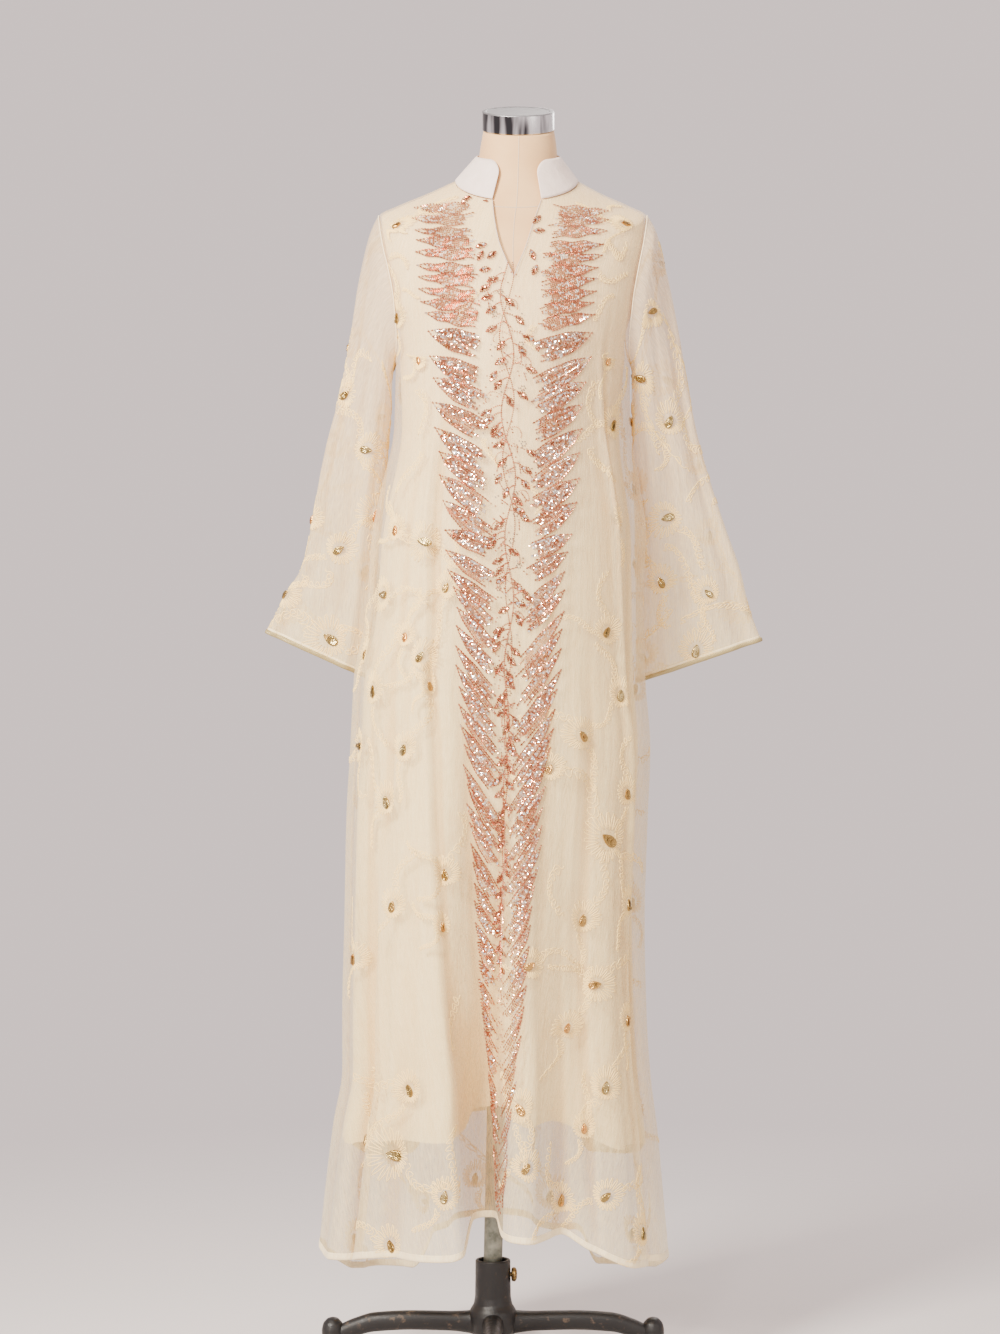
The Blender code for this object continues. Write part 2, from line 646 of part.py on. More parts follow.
def arm_mesh(name, turn):
    """One arm of the base: an oval section carried out from the hub and down into its boss."""
    arm = {
        "columns": ("reach", "height", "half_height", "half_width"),
        "rows": (
            (0.012, 0.0600, 0.0180, 0.0150),
            (0.030, 0.0605, 0.0150, 0.0135),
            (0.060, 0.0615, 0.0132, 0.0120),
            (0.110, 0.0625, 0.0130, 0.0115),
            (0.160, 0.0600, 0.0130, 0.0112),
            (0.190, 0.0520, 0.0125, 0.0108),
            (0.214, 0.0420, 0.0115, 0.0100),
        ),
    }
    around = np.linspace(0, 2 * math.pi, 8, endpoint=False)
    rings = []
    for reach, height, half_height, half_width in arm["rows"]:
        x = np.full_like(around, reach)
        y = half_width * np.sin(around)
        z = height + half_height * np.cos(around)
        rings.append(np.stack([x, y, z], axis=-1))
    rings = np.array(rings)
    across = rings.copy()
    rings[..., 0] = across[..., 0] * math.cos(turn) - across[..., 1] * math.sin(turn) + AXIS_FOOT_X
    rings[..., 1] = across[..., 0] * math.sin(turn) + across[..., 1] * math.cos(turn)
    faces = grid_faces(len(rings), len(around), closed=True)
    faces.append(tuple(range(len(around))))
    faces.append(tuple(reversed(range((len(rings) - 1) * len(around), len(rings) * len(around)))))
    mesh = bpy.data.meshes.new(name)
    mesh.from_pydata([tuple(p) for p in rings.reshape(-1, 3)], [], faces)
    bm = bmesh.new()
    bm.from_mesh(mesh)
    bmesh.ops.recalc_face_normals(bm, faces=bm.faces)
    bm.to_mesh(mesh)
    bm.free()
    piece = bpy.data.objects.new(name, mesh)
    bpy.context.scene.collection.objects.link(piece)
    return piece


def make_base():
    """One casting: hub with its socket, four arms, and a domed boss on each arm's end."""
    profile = (
        (0.0, HUB_TOP),
        (HUB_RADIUS, HUB_TOP),
        (HUB_RADIUS + 0.0006, 0.0950),
        (0.0262, 0.0850),
        (0.0310, 0.0770),
        (0.0330, 0.0700),
        (0.0300, 0.0480),
        (0.0240, 0.0420),
        (0.0, 0.0420),
    )
    base = turned("base", profile, parts, steps=24)
    base.location = (AXIS_FOOT_X, 0.0, 0.0)
    boss_profile = (
        (0.0, BOSS_TOP),
        (0.0075, BOSS_TOP - 0.0020),
        (0.0130, BOSS_TOP - 0.0080),
        (BOSS_RADIUS, BOSS_TOP - 0.0160),
        (BOSS_RADIUS, FOOT_TOP + 0.0060),
        (0.0120, FOOT_TOP + SEAM_GAP),
        (0.0, FOOT_TOP + SEAM_GAP),
    )
    for index in range(4):
        turn = index * math.pi / 2
        arm = arm_mesh(f"arm_{index}", turn)
        make_cutter(arm)
        boss = turned(f"boss_{index}", boss_profile, cutters, steps=12)
        boss.location = (AXIS_FOOT_X + ARM_REACH * math.cos(turn), ARM_REACH * math.sin(turn), 0.0)
        make_cutter(boss)
        join_shape(base, arm, "UNION")
        join_shape(base, boss, "UNION")
    depth = HUB_TOP + CUTTER_PROUD - SOCKET_FLOOR
    bpy.ops.mesh.primitive_cylinder_add(vertices=20, radius=SOCKET_RADIUS, depth=depth)
    socket = bpy.context.object
    socket.name = "socket_cutter"
    socket.location = (AXIS_FOOT_X, 0.0, SOCKET_FLOOR + depth / 2)
    make_cutter(socket)
    join_shape(base, socket, "DIFFERENCE")
    bpy.ops.mesh.primitive_cylinder_add(vertices=16, radius=SCREW_HOLE_RADIUS, depth=0.02)
    hole = bpy.context.object
    hole.name = "screw_hole_cutter"
    hole.rotation_euler = (0.0, math.pi / 2, 0.0)
    hole.location = (AXIS_FOOT_X + HUB_RADIUS, 0.0, SCREW_LEVEL)
    make_cutter(hole)
    join_shape(base, hole, "DIFFERENCE")
    finish(base, (0.02, 0.02, 0.02), 0.5, 0.6)


def make_screw():
    """Thumb screw: a shank through the hub's wall to the pole, and a round head outside."""
    start = axis_x(SCREW_LEVEL) + POLE_RADIUS + 2 * SEAM_GAP
    head = AXIS_FOOT_X + HUB_RADIUS + 0.0010
    length = head - start
    profile = (
        (0.0, 0.0082 + length),
        (0.0060, 0.0078 + length),
        (0.0088, 0.0062 + length),
        (SCREW_HEAD_RADIUS, 0.0040 + length),
        (SCREW_HEAD_RADIUS, 0.0024 + length),
        (0.0080, 0.0006 + length),
        (0.0045, length),
        (SCREW_RADIUS, length),
        (SCREW_RADIUS, 0.0),
        (0.0, 0.0),
    )
    screw = turned("thumb_screw", profile, parts, steps=14)
    screw.rotation_euler = (0.0, math.pi / 2, 0.0)
    screw.location = (start, 0.0, SCREW_LEVEL)
    finish(screw, (0.30, 0.20, 0.09), 0.4, 0.9)


def make_feet():
    """Plain pads under the bosses, flat on the floor."""
    names = ("foot_left", "foot_back", "foot_right", "foot_front")
    for index, name in enumerate(names):
        turn = index * math.pi / 2
        profile = (
            (0.0, FOOT_TOP),
            (0.0125, FOOT_TOP),
            (FOOT_RADIUS, 0.0040),
            (FOOT_RADIUS, 0.0),
            (0.0, 0.0),
        )
        foot = turned(name, profile, parts, steps=14)
        foot.location = (AXIS_FOOT_X + ARM_REACH * math.cos(turn), ARM_REACH * math.sin(turn), 0.0)
        finish(foot, (0.03, 0.03, 0.03), 0.6)


for old in list(bpy.data.objects):
    bpy.data.objects.remove(old)
parts = bpy.data.collections.new("sequin_abaya")
cutters = bpy.data.collections.new("cutters")
bpy.context.scene.collection.children.link(parts)
bpy.context.scene.collection.children.link(cutters)

CHIFFON = (0.84, 0.76, 0.65)
SLIP = (0.86, 0.78, 0.66)
TRIM = (0.42, 0.33, 0.16)

make_front("front", HEM_LEVEL, SKIRT_ROWS, FRONT_COLUMNS, SEAM_GAP, no_inset, CLOTH_WALL, CHIFFON)
make_back("back", HEM_LEVEL, SKIRT_ROWS, BACK_COLUMNS, SEAM_GAP, no_inset, CLOTH_WALL, CHIFFON)
make_front(
    "lining_front",
    LINING_HEM_LEVEL,
    LINING_SKIRT_ROWS,
    LINING_FRONT_COLUMNS,
    3 * SEAM_GAP,
    lining_inset,
    LINING_WALL,
    SLIP,
)
make_back(
    "lining_back",
    LINING_HEM_LEVEL,
    LINING_SKIRT_ROWS,
    LINING_BACK_COLUMNS,
    3 * SEAM_GAP,
    lining_inset,
    LINING_WALL,
    SLIP,
)
make_sleeve("sleeve_right", SLEEVE_RIGHT, -1, CHIFFON)
make_sleeve("sleeve_left", SLEEVE_LEFT, 1, CHIFFON)
make_trim("cuff_trim_right", SLEEVE_RIGHT, -1, TRIM)
make_trim("cuff_trim_left", SLEEVE_LEFT, 1, TRIM)
make_collar()
make_form()
make_cap()
make_pole()
make_base()
make_screw()
make_feet()
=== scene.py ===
"""Looks of a sequin abaya on its dress form and stand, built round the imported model.

Metres, +Z up, the front faces -Y and the wearer's right is at -X. The cloth follows the same
tables and formulas as the solids, on finer grids. The order is the order of making: stand, form,
lining, chiffon, sleeves, collar, edgings, then what is sewn on, and last the studio.
"""

import math

import bmesh
import bpy
import numpy as np
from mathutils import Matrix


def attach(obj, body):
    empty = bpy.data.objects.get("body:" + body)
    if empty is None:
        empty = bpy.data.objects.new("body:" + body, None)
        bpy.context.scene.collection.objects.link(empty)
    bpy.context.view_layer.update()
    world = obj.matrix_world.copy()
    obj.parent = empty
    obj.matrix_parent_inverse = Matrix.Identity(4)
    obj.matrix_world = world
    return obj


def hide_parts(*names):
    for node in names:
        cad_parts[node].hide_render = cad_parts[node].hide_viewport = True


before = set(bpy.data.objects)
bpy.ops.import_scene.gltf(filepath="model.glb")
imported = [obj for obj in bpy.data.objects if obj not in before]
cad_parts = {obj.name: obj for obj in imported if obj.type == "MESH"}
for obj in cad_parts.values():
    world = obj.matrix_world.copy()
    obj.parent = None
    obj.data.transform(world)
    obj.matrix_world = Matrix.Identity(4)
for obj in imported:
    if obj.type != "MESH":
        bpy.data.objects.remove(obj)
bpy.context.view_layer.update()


# Cast base
# One iron casting: a hub with a socket for the pole, and four arms that end in domed bosses.
# Sand cast, dipped in black enamel, and worn to bare metal where it is handled.


def table(names, *rows):
    """A table's columns as arrays, by name. The others are read along the first one."""
    return dict(zip(names.split(), np.array(rows, float).T))


AXIS_FOOT_X = -0.0286
HUB_TOP = 0.1450
SOCKET_FLOOR = 0.0620
SOCKET_RADIUS = 0.0195
ARM_REACH = 0.2176
ARM_SQUARENESS = 0.85
BOSS_TOP = 0.0670
FOOT_TOP = 0.0180
HUB_PROFILE = (
    (0.0, SOCKET_FLOOR), (0.0185, SOCKET_FLOOR), (SOCKET_RADIUS, 0.0640),
    (SOCKET_RADIUS, HUB_TOP - 0.0012), (0.0204, HUB_TOP), (0.0228, HUB_TOP),
    (0.0238, HUB_TOP - 0.0014), (0.0240, 0.1180), (0.0244, 0.0950), (0.0262, 0.0850),
    (0.0310, 0.0770), (0.0330, 0.0700), (0.0326, 0.0600), (0.0300, 0.0480), (0.0240, 0.0424),
    (0.0, 0.0420),
)
BOSS_PROFILE = (
    (0.0, BOSS_TOP), (0.0075, BOSS_TOP - 0.0020), (0.0130, BOSS_TOP - 0.0080),
    (0.0150, BOSS_TOP - 0.0160), (0.0150, FOOT_TOP + 0.0060), (0.0120, FOOT_TOP + 0.0003),
    (0.0, FOOT_TOP + 0.0003),
)
ARM = table(
    "reach height half_height half_width",
    (0.010, 0.0600, 0.0190, 0.0170), (0.022, 0.0600, 0.0175, 0.0160),
    (0.034, 0.0605, 0.0150, 0.0135), (0.060, 0.0615, 0.0132, 0.0120),
    (0.110, 0.0625, 0.0130, 0.0115), (0.160, 0.0600, 0.0130, 0.0112),
    (0.190, 0.0520, 0.0125, 0.0108), (0.214, 0.0420, 0.0115, 0.0100),
)


def smooth_read(places, values, wanted):
    """Cubic curve through rows that never swings past them: each row's slope is the harmonic mean
    of the slopes beside it, or level at a peak. A value may itself be a row of numbers, and the
    wanted places are then a plain list."""
    places, values = np.asarray(places, float), np.asarray(values, float)
    order = np.argsort(places)
    x, y = places[order], values[order]
    more = (1,) * (y.ndim - 1)
    rise = np.diff(y, axis=0) / np.diff(x).reshape((-1,) + more)
    product, total = rise[1:] * rise[:-1], rise[1:] + rise[:-1]
    inner = np.where(product > 0, 2 * product / np.where(np.abs(total) > 1e-12, total, 1.0), 0.0)
    slope = np.concatenate([rise[:1], inner, rise[-1:]])
    wanted = np.clip(np.asarray(wanted, float), x[0], x[-1])
    i = np.clip(np.searchsorted(x, wanted) - 1, 0, len(x) - 2)
    step = np.reshape(x[i + 1] - x[i], i.shape + more)
    s = np.reshape(wanted - x[i], i.shape + more) / step
    start = (2 * s**3 - 3 * s**2 + 1) * y[i] + (s**3 - 2 * s**2 + s) * step * slope[i]
    end = (3 * s**2 - 2 * s**3) * y[i + 1] + (s**3 - s**2) * step * slope[i + 1]
    return start + end


def read(source, name, at):
    """Value of a named column at any place along the table's first column."""
    return smooth_read(next(iter(source.values())), source[name], at)


def quads(rows, columns):
    """Corner numbers of a grid's faces, which look outwards where rows run down and columns run
    towards +X on the front."""
    corner = np.arange(rows - 1)[:, None] * columns + np.arange(columns - 1)[None, :]
    return np.stack([corner, corner + columns, corner + columns + 1, corner + 1], -1).reshape(-1, 4)


def joined(shapes):
    """Several lists of points and faces as one."""
    points, faces, first = [], [], 0
    for shape_points, shape_faces in shapes:
        points.append(shape_points)
        faces.append(shape_faces + first)
        first += len(shape_points)
    return np.concatenate(points), np.concatenate(faces)


def stack(grids):
    """Several grids as one list of points and faces, each grid rows by columns by three."""
    return joined([(grid.reshape(-1, 3), quads(*grid.shape[:2])) for grid in grids])


def fill_mesh(name, points, faces, uv=None, values=None):
    """A smooth mesh from arrays of points and equal-sided faces. uv gives each point its place on
    the cloth in metres, and values are named numbers for the material, one a point."""
    mesh = bpy.data.meshes.new(name)
    mesh.vertices.add(len(points))
    mesh.vertices.foreach_set("co", np.asarray(points, np.float32).ravel())
    mesh.loops.add(faces.size)
    mesh.loops.foreach_set("vertex_index", faces.astype(np.int32).ravel())
    mesh.polygons.add(len(faces))
    mesh.polygons.foreach_set("loop_start", np.arange(len(faces), dtype=np.int32) * faces.shape[1])
    if uv is not None:
        layer = mesh.uv_layers.new(name="UVMap")
        layer.uv.foreach_set("vector", np.asarray(uv, np.float32)[faces.ravel()].ravel())
    for key, numbers in (values or {}).items():
        attribute = mesh.attributes.new(key, "FLOAT", "POINT")
        attribute.data.foreach_set("value", np.asarray(numbers, np.float32).ravel())
    mesh.update(calc_edges=True)
    mesh.shade_smooth()
    return mesh


def weld(mesh):
    """Merges the doubled points of seams and poles."""
    shape = bmesh.new()
    shape.from_mesh(mesh)
    bmesh.ops.remove_doubles(shape, verts=shape.verts, dist=0.000002)
    bmesh.ops.dissolve_degenerate(shape, edges=shape.edges, dist=0.0000005)
    shape.to_mesh(mesh)
    shape.free()


def place(name, shape, material, slot=None, solids=(), uv=None, values=None, welded=True):
    """The finished piece from its points and faces: it rides on the stand, and stands for the
    named solids."""
    mesh = fill_mesh(name, *shape, uv, values)
    if welded:
        weld(mesh)
    piece = bpy.data.objects.new(name, mesh)
    bpy.context.scene.collection.objects.link(piece)
    piece.data.materials.append(material)
    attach(piece, "root")
    if solids:
        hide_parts(*solids)
    return piece


def lathe(profile, sides=64, bevel=0.18):
    """A profile of radius and height, top to bottom, spun round Z. Each corner of the profile is
    rounded: it is cut back by a share of its shorter neighbour, with a bow of five points."""
    profile = np.array(profile, float)
    before, corner, after = profile[:-2], profile[1:-1], profile[2:]
    back, on = before - corner, after - corner
    reach = bevel * np.minimum(np.linalg.norm(back, axis=1), np.linalg.norm(on, axis=1))
    start = corner + back / np.linalg.norm(back, axis=1)[:, None] * reach[:, None]
    end = corner + on / np.linalg.norm(on, axis=1)[:, None] * reach[:, None]
    t = np.linspace(0, 1, 5)[None, :, None]
    bow = (1 - t) ** 2 * start[:, None] + 2 * t * (1 - t) * corner[:, None] + t**2 * end[:, None]
    line = np.concatenate([profile[:1], bow.reshape(-1, 2), profile[-1:]])
    turn = np.linspace(0, 2 * math.pi, sides + 1)
    radius, height = line[:, :1], line[:, 1:]
    return np.stack([radius * np.sin(turn), -radius * np.cos(turn), height + 0 * turn], axis=-1)


def turned(name, grids, seat, material, slot, solid, tilt_axis=None, tilt=0.0):
    """A piece of turned grids, tilted about an axis at the origin, then moved to a seat."""
    points, faces = stack(grids)
    x, y, z = points.T.copy()
    c, s = math.cos(tilt), math.sin(tilt)
    if tilt_axis == "x":
        points = np.stack([x, y * c - z * s, y * s + z * c], -1)
    if tilt_axis == "y":
        points = np.stack([x * c + z * s, y, -x * s + z * c], -1)
    place(name, (points + np.array(seat), faces), material, slot, (solid,))


def plug(tree, value, socket):
    """Feeds a socket from another node's output, or sets it to a plain value."""
    if isinstance(value, bpy.types.NodeSocket):
        tree.links.new(value, socket)
    else:
        socket.default_value = value


def node(tree, kind, settings=None, **sockets):
    """A shader node. Settings are its own properties; each named socket takes a number, a colour or
    another node's output. Returns the node's first output."""
    made = tree.nodes.new(kind)
    for key, value in (settings or {}).items():
        setattr(made, key, value)
    for key, value in sockets.items():
        plug(tree, value, made.inputs[key.replace("_", " ")])
    return made.outputs[0]


def noise(tree, at, scale, detail=2.0, **sockets):
    """A cloudy pattern over a place. A scale of three numbers stretches it along the axes."""
    if isinstance(scale, tuple):
        at = node(tree, "ShaderNodeMapping", Vector=at, Scale=scale)
        scale = 1.0
    return node(tree, "ShaderNodeTexNoise", Vector=at, Scale=scale, Detail=detail, **sockets)


def mixed(tree, factor, first, second):
    """Blends two colours. Each may be a colour or a node's output."""
    made = tree.nodes.new("ShaderNodeMix")
    made.data_type = "RGBA"
    for index, value in ((0, factor), (6, first), (7, second)):
        plug(tree, (*value, 1.0) if isinstance(value, tuple) else value, made.inputs[index])
    return made.outputs[2]


def spread(tree, value, low, high, to_low=0.0, to_high=1.0):
    """Stretches a range of a value to another range, and holds it there."""
    made = tree.nodes.new("ShaderNodeMapRange")
    for index, number in enumerate((value, low, high, to_low, to_high)):
        plug(tree, number, made.inputs[index])
    return made.outputs[0]


def new_material(name, roughness=0.5, metallic=0.0, **sockets):
    """A Principled material with its plain sockets set. Returns the material and its node tree."""
    material = bpy.data.materials.new(name)
    material.use_nodes = True
    into(material.node_tree, Roughness=roughness, Metallic=metallic, **sockets)
    return material, material.node_tree


def into(tree, **sockets):
    """Feeds or sets the Principled shader's named sockets."""
    shader = tree.nodes["Principled BSDF"]
    for key, value in sockets.items():
        plug(tree, value, shader.inputs[key.replace("_", " ")])


def coat(tree, pattern, colours, relief, ends=(0.3, 0.7), raised=None, **sockets):
    """Blends two colours between two values of a pattern, and raises the surface by that pattern
    or another one. Relief is its height in metres and its strength."""
    height = pattern if raised is None else raised
    colour = mixed(tree, spread(tree, pattern, *ends), *colours)
    into(tree, Base_Color=colour, Normal=bump(tree, height, *relief), **sockets)


def bump(tree, height, distance, strength):
    """Raises the surface by a height pattern, distance in metres."""
    return node(tree, "ShaderNodeBump", Height=height, Distance=distance, Strength=strength)


def object_point(tree):
    """Place on the finished piece, in metres."""
    return tree.nodes.new("ShaderNodeTexCoord").outputs["Object"]


def arm_grid(turn, sides=28, rows=48):
    """An oval section carried out along the arm, its height and widths read from the table, with
    a closed end inside the boss and one inside the hub."""
    reach = np.linspace(ARM["reach"][0], ARM["reach"][-1], rows)
    around = np.linspace(0, 2 * math.pi, sides + 1)
    height, tall, wide = (read(ARM, key, reach)[:, None] for key in list(ARM)[1:])
    along = reach[:, None] + 0 * around
    across = -wide * np.sign(np.sin(around)) * np.abs(np.sin(around)) ** ARM_SQUARENESS
    up = height + tall * np.sign(np.cos(around)) * np.abs(np.cos(around)) ** ARM_SQUARENESS
    grid = np.stack([along, across, up], -1)
    ends = [np.repeat(grid[end].mean(0)[None, None], sides + 1, 1) for end in (0, -1)]
    x, y, z = np.moveaxis(np.concatenate([ends[0], grid, ends[1]]), -1, 0)
    c, s = math.cos(turn), math.sin(turn)
    return np.stack([x * c - y * s, x * s + y * c, z], -1)


iron, tree = new_material("black_enamel_iron", roughness=0.45, metallic=0.35)
here = object_point(tree)
grain = noise(tree, here, 900.0, 4.0)
patch = noise(tree, here, 55.0, 5.0, Roughness=0.7)
wear = spread(tree, patch, 0.35, 0.75, 0.30, 0.62)
enamel = ((0.012, 0.011, 0.011), (0.085, 0.058, 0.040))
coat(tree, patch, enamel, (0.0007, 0.55), (0.60, 0.68), grain, Roughness=wear)
quarter = [index * math.pi / 2 for index in range(4)]
bosses = [
    lathe(BOSS_PROFILE, 40, 0.3) + ARM_REACH * np.array([math.cos(turn), math.sin(turn), 0.0])
    for turn in quarter
]
casting = [lathe(HUB_PROFILE), *[arm_grid(turn) for turn in quarter], *bosses]
turned("cast_base", casting, (AXIS_FOOT_X, 0.0, 0.0), iron, "base_iron", "base")


# Floor pads
# Moulded black rubber pads, one under the end of each arm. Each is pressed on under its boss, so
# that the iron doesn't mark the floor.

PAD_PROFILE = ((0.0, FOOT_TOP), (0.0125, FOOT_TOP), (0.0160, 0.0040), (0.0160, 0.0), (0.0, 0.0))
rubber, tree = new_material("black_rubber", roughness=0.75)
dust = noise(tree, object_point(tree), 260.0, 6.0)
coat(tree, dust, ((0.014, 0.014, 0.014), (0.07, 0.065, 0.06)), (0.0004, 0.5), (0.45, 0.75))
for turn, side in zip(quarter, ("left", "back", "right", "front")):
    seat = (AXIS_FOOT_X + ARM_REACH * math.cos(turn), ARM_REACH * math.sin(turn), 0.0)
    turned("pad_" + side, [lathe(PAD_PROFILE, 40, 0.12)], seat, rubber, "pad", "foot_" + side)


# Pole
# A drawn steel tube that stands in the socket and goes up into the form, leaning with it.
# The plating has dulled to a mottled grey-green.

AXIS_FOOT_Z = 0.1435
LEAN = 0.0222
POLE_RADIUS = 0.0127
POLE_LOW = 0.0626
POLE_LENGTH = 0.9194 - POLE_LOW
POLE_PROFILE = ((0.0, POLE_LENGTH), (POLE_RADIUS, POLE_LENGTH), (POLE_RADIUS, 0.0), (0.0, 0.0))


def axis_x(z):
    """Where the leaning axis of the form and pole is at a height."""
    return AXIS_FOOT_X + (z - AXIS_FOOT_Z) * LEAN


steel, tree = new_material("dulled_steel", roughness=0.4, metallic=0.9)
here = object_point(tree)
cloud = noise(tree, here, 70.0, 6.0, Roughness=0.65)
drawn = noise(tree, here, (900.0, 900.0, 8.0))
dulled = spread(tree, cloud, 0.3, 0.7, 0.28, 0.58)
plating = ((0.10, 0.108, 0.086), (0.29, 0.29, 0.24))
coat(tree, cloud, plating, (0.0002, 0.4), (0.35, 0.65), drawn, Roughness=dulled)
seat = (axis_x(POLE_LOW), 0.0, POLE_LOW)
tube = [lathe(POLE_PROFILE, 64, 0.08)]
turned("pole_tube", tube, seat, steel, "pole_metal", "pole", "y", math.atan(LEAN))


# Thumb screw
# A turned brass screw through the hub's wall that clamps the pole. Its round head is grooved, and
# tarnished brown.

SCREW_LEVEL = 0.1245
SCREW_START = axis_x(SCREW_LEVEL) + POLE_RADIUS + 0.0006
SHANK = AXIS_FOOT_X + 0.0248 - SCREW_START
HEAD_PROFILE = (
    (0.0, 0.0082), (0.0060, 0.0078), (0.0088, 0.0062), (0.0098, 0.0046), (0.0098, 0.0040),
    (0.0091, 0.0034), (0.0098, 0.0028), (0.0098, 0.0024), (0.0080, 0.0006), (0.0045, 0.0),
)
SCREW_PROFILE = [(radius, height + SHANK) for radius, height in HEAD_PROFILE]
SCREW_PROFILE += [(0.0030, SHANK), (0.0030, 0.0), (0.0, 0.0)]

tarnished, tree = new_material("tarnished_brass", roughness=0.35, metallic=0.95)
stain = noise(tree, object_point(tree), 420.0, 5.0)
brown = mixed(tree, spread(tree, stain, 0.4, 0.62), (0.36, 0.24, 0.09), (0.10, 0.055, 0.03))
into(tree, Base_Color=brown, Roughness=spread(tree, stain, 0.3, 0.7, 0.25, 0.6))
seat = (SCREW_START, 0.0, SCREW_LEVEL)
screw = [lathe(SCREW_PROFILE, 48, 0.2)]
turned("thumb_screw_head", screw, seat, tarnished, "screw_metal", "thumb_screw", "y", math.pi / 2)


# Body of the garment, as numbers
# The chiffon hangs in rings from the neckline to the hem. These tables repeat the solids': ring
# sizes at each level, how far inside the lining and form lie, the hem's height, and the folds.

CLOTH_WALL = 0.0012
SEAM_GAP = 0.0003
NECK_LEVEL = 1.6096
SHOULDER_LEVEL = 1.5634
UNDERARM_LEVEL = 1.3650
HEM_LEVEL = 0.1550
HEM_SHAPE_TOP = 0.8000
ARMHOLE_HALF_DEPTH = 0.048
ARMHOLE_MIDDLE = (SHOULDER_LEVEL + UNDERARM_LEVEL) / 2
ARMHOLE_HALF_HEIGHT = (SHOULDER_LEVEL - UNDERARM_LEVEL) / 2
BODY = table(
    "level left right front back front_drop back_drop",
    (1.6096, -0.0800, 0.0870, 0.0700, 0.0620, 0.0376, -0.0120),
    (1.5920, -0.1190, 0.1200, 0.0800, 0.0700, 0.0430, 0.0000),
    (1.5760, -0.1580, 0.1560, 0.0900, 0.0780, 0.0480, 0.0140),
    (1.5634, -0.1818, 0.1788, 0.0980, 0.0850, 0.0500, 0.0200),
    (1.5300, -0.1856, 0.1826, 0.1060, 0.0960, 0.0430, 0.0180),
    (1.5022, -0.1826, 0.1806, 0.1120, 0.1020, 0.0360, 0.0120),
    (1.4437, -0.1720, 0.1700, 0.1220, 0.1090, 0.0200, 0.0050),
    (1.3743, -0.1600, 0.1560, 0.1320, 0.1100, 0.0080, 0.0000),
    (1.2791, -0.1618, 0.1530, 0.1360, 0.1100, 0.0, 0.0),
    (1.1744, -0.1836, 0.1673, 0.1420, 0.1180, 0.0, 0.0),
    (1.1295, -0.1918, 0.1727, 0.1440, 0.1220, 0.0, 0.0),
    (1.0153, -0.2013, 0.1741, 0.1500, 0.1310, 0.0, 0.0),
    (0.9405, -0.2162, 0.1754, 0.1530, 0.1370, 0.0, 0.0),
    (0.8398, -0.2217, 0.1822, 0.1570, 0.1460, 0.0, 0.0),
    (0.7406, -0.2271, 0.1782, 0.1600, 0.1540, 0.0, 0.0),
    (0.6018, -0.2298, 0.1741, 0.1640, 0.1630, 0.0, 0.0),
    (0.4794, -0.2326, 0.1768, 0.1680, 0.1700, 0.0, 0.0),
    (0.3992, -0.2326, 0.1822, 0.1710, 0.1750, 0.0, 0.0),
    (0.3230, -0.2448, 0.1918, 0.1740, 0.1800, 0.0, 0.0),
    (0.2360, -0.2557, 0.1999, 0.1770, 0.1840, 0.0, 0.0),
    (0.1550, -0.2640, 0.2080, 0.1800, 0.1870, 0.0, 0.0),
)
INSIDE = table(
    "level lining form own_lean",
    (1.6096, 0.0020, 0.0030, 0.0), (1.5800, 0.0027, 0.0046, 0.0), (1.5634, 0.0030, 0.0056, 0.0),
    (1.5022, 0.0036, 0.0070, 0.0), (1.4400, 0.0036, 0.0074, 0.0), (1.3743, 0.0060, 0.0100, 0.0),
    (1.2791, 0.0110, 0.0220, 0.5), (1.1744, 0.0150, 0.0520, 1.0), (1.1000, 0.0150, 0.0560, 1.0),
    (1.0153, 0.0150, 0.0400, 1.0), (0.9405, 0.0150, 0.0340, 1.0), (0.8600, 0.0150, 0.0420, 1.0),
)
HEM = table(
    "angle height",
    (-180.0, 0.172), (-155.0, 0.160), (-149.0, 0.104), (-120.0, 0.116), (-104.0, 0.145),
    (-90.0, 0.166), (-76.0, 0.157), (-60.0, 0.160), (-45.0, 0.172), (-30.0, 0.178),
    (-13.0, 0.181), (-7.6, 0.194), (-5.0, 0.220), (1.5, 0.222), (4.0, 0.205), (12.0, 0.202),
    (24.0, 0.206), (34.0, 0.184), (50.0, 0.158), (90.0, 0.150), (110.0, 0.122), (143.0, 0.108),
    (150.0, 0.158), (180.0, 0.172),
)
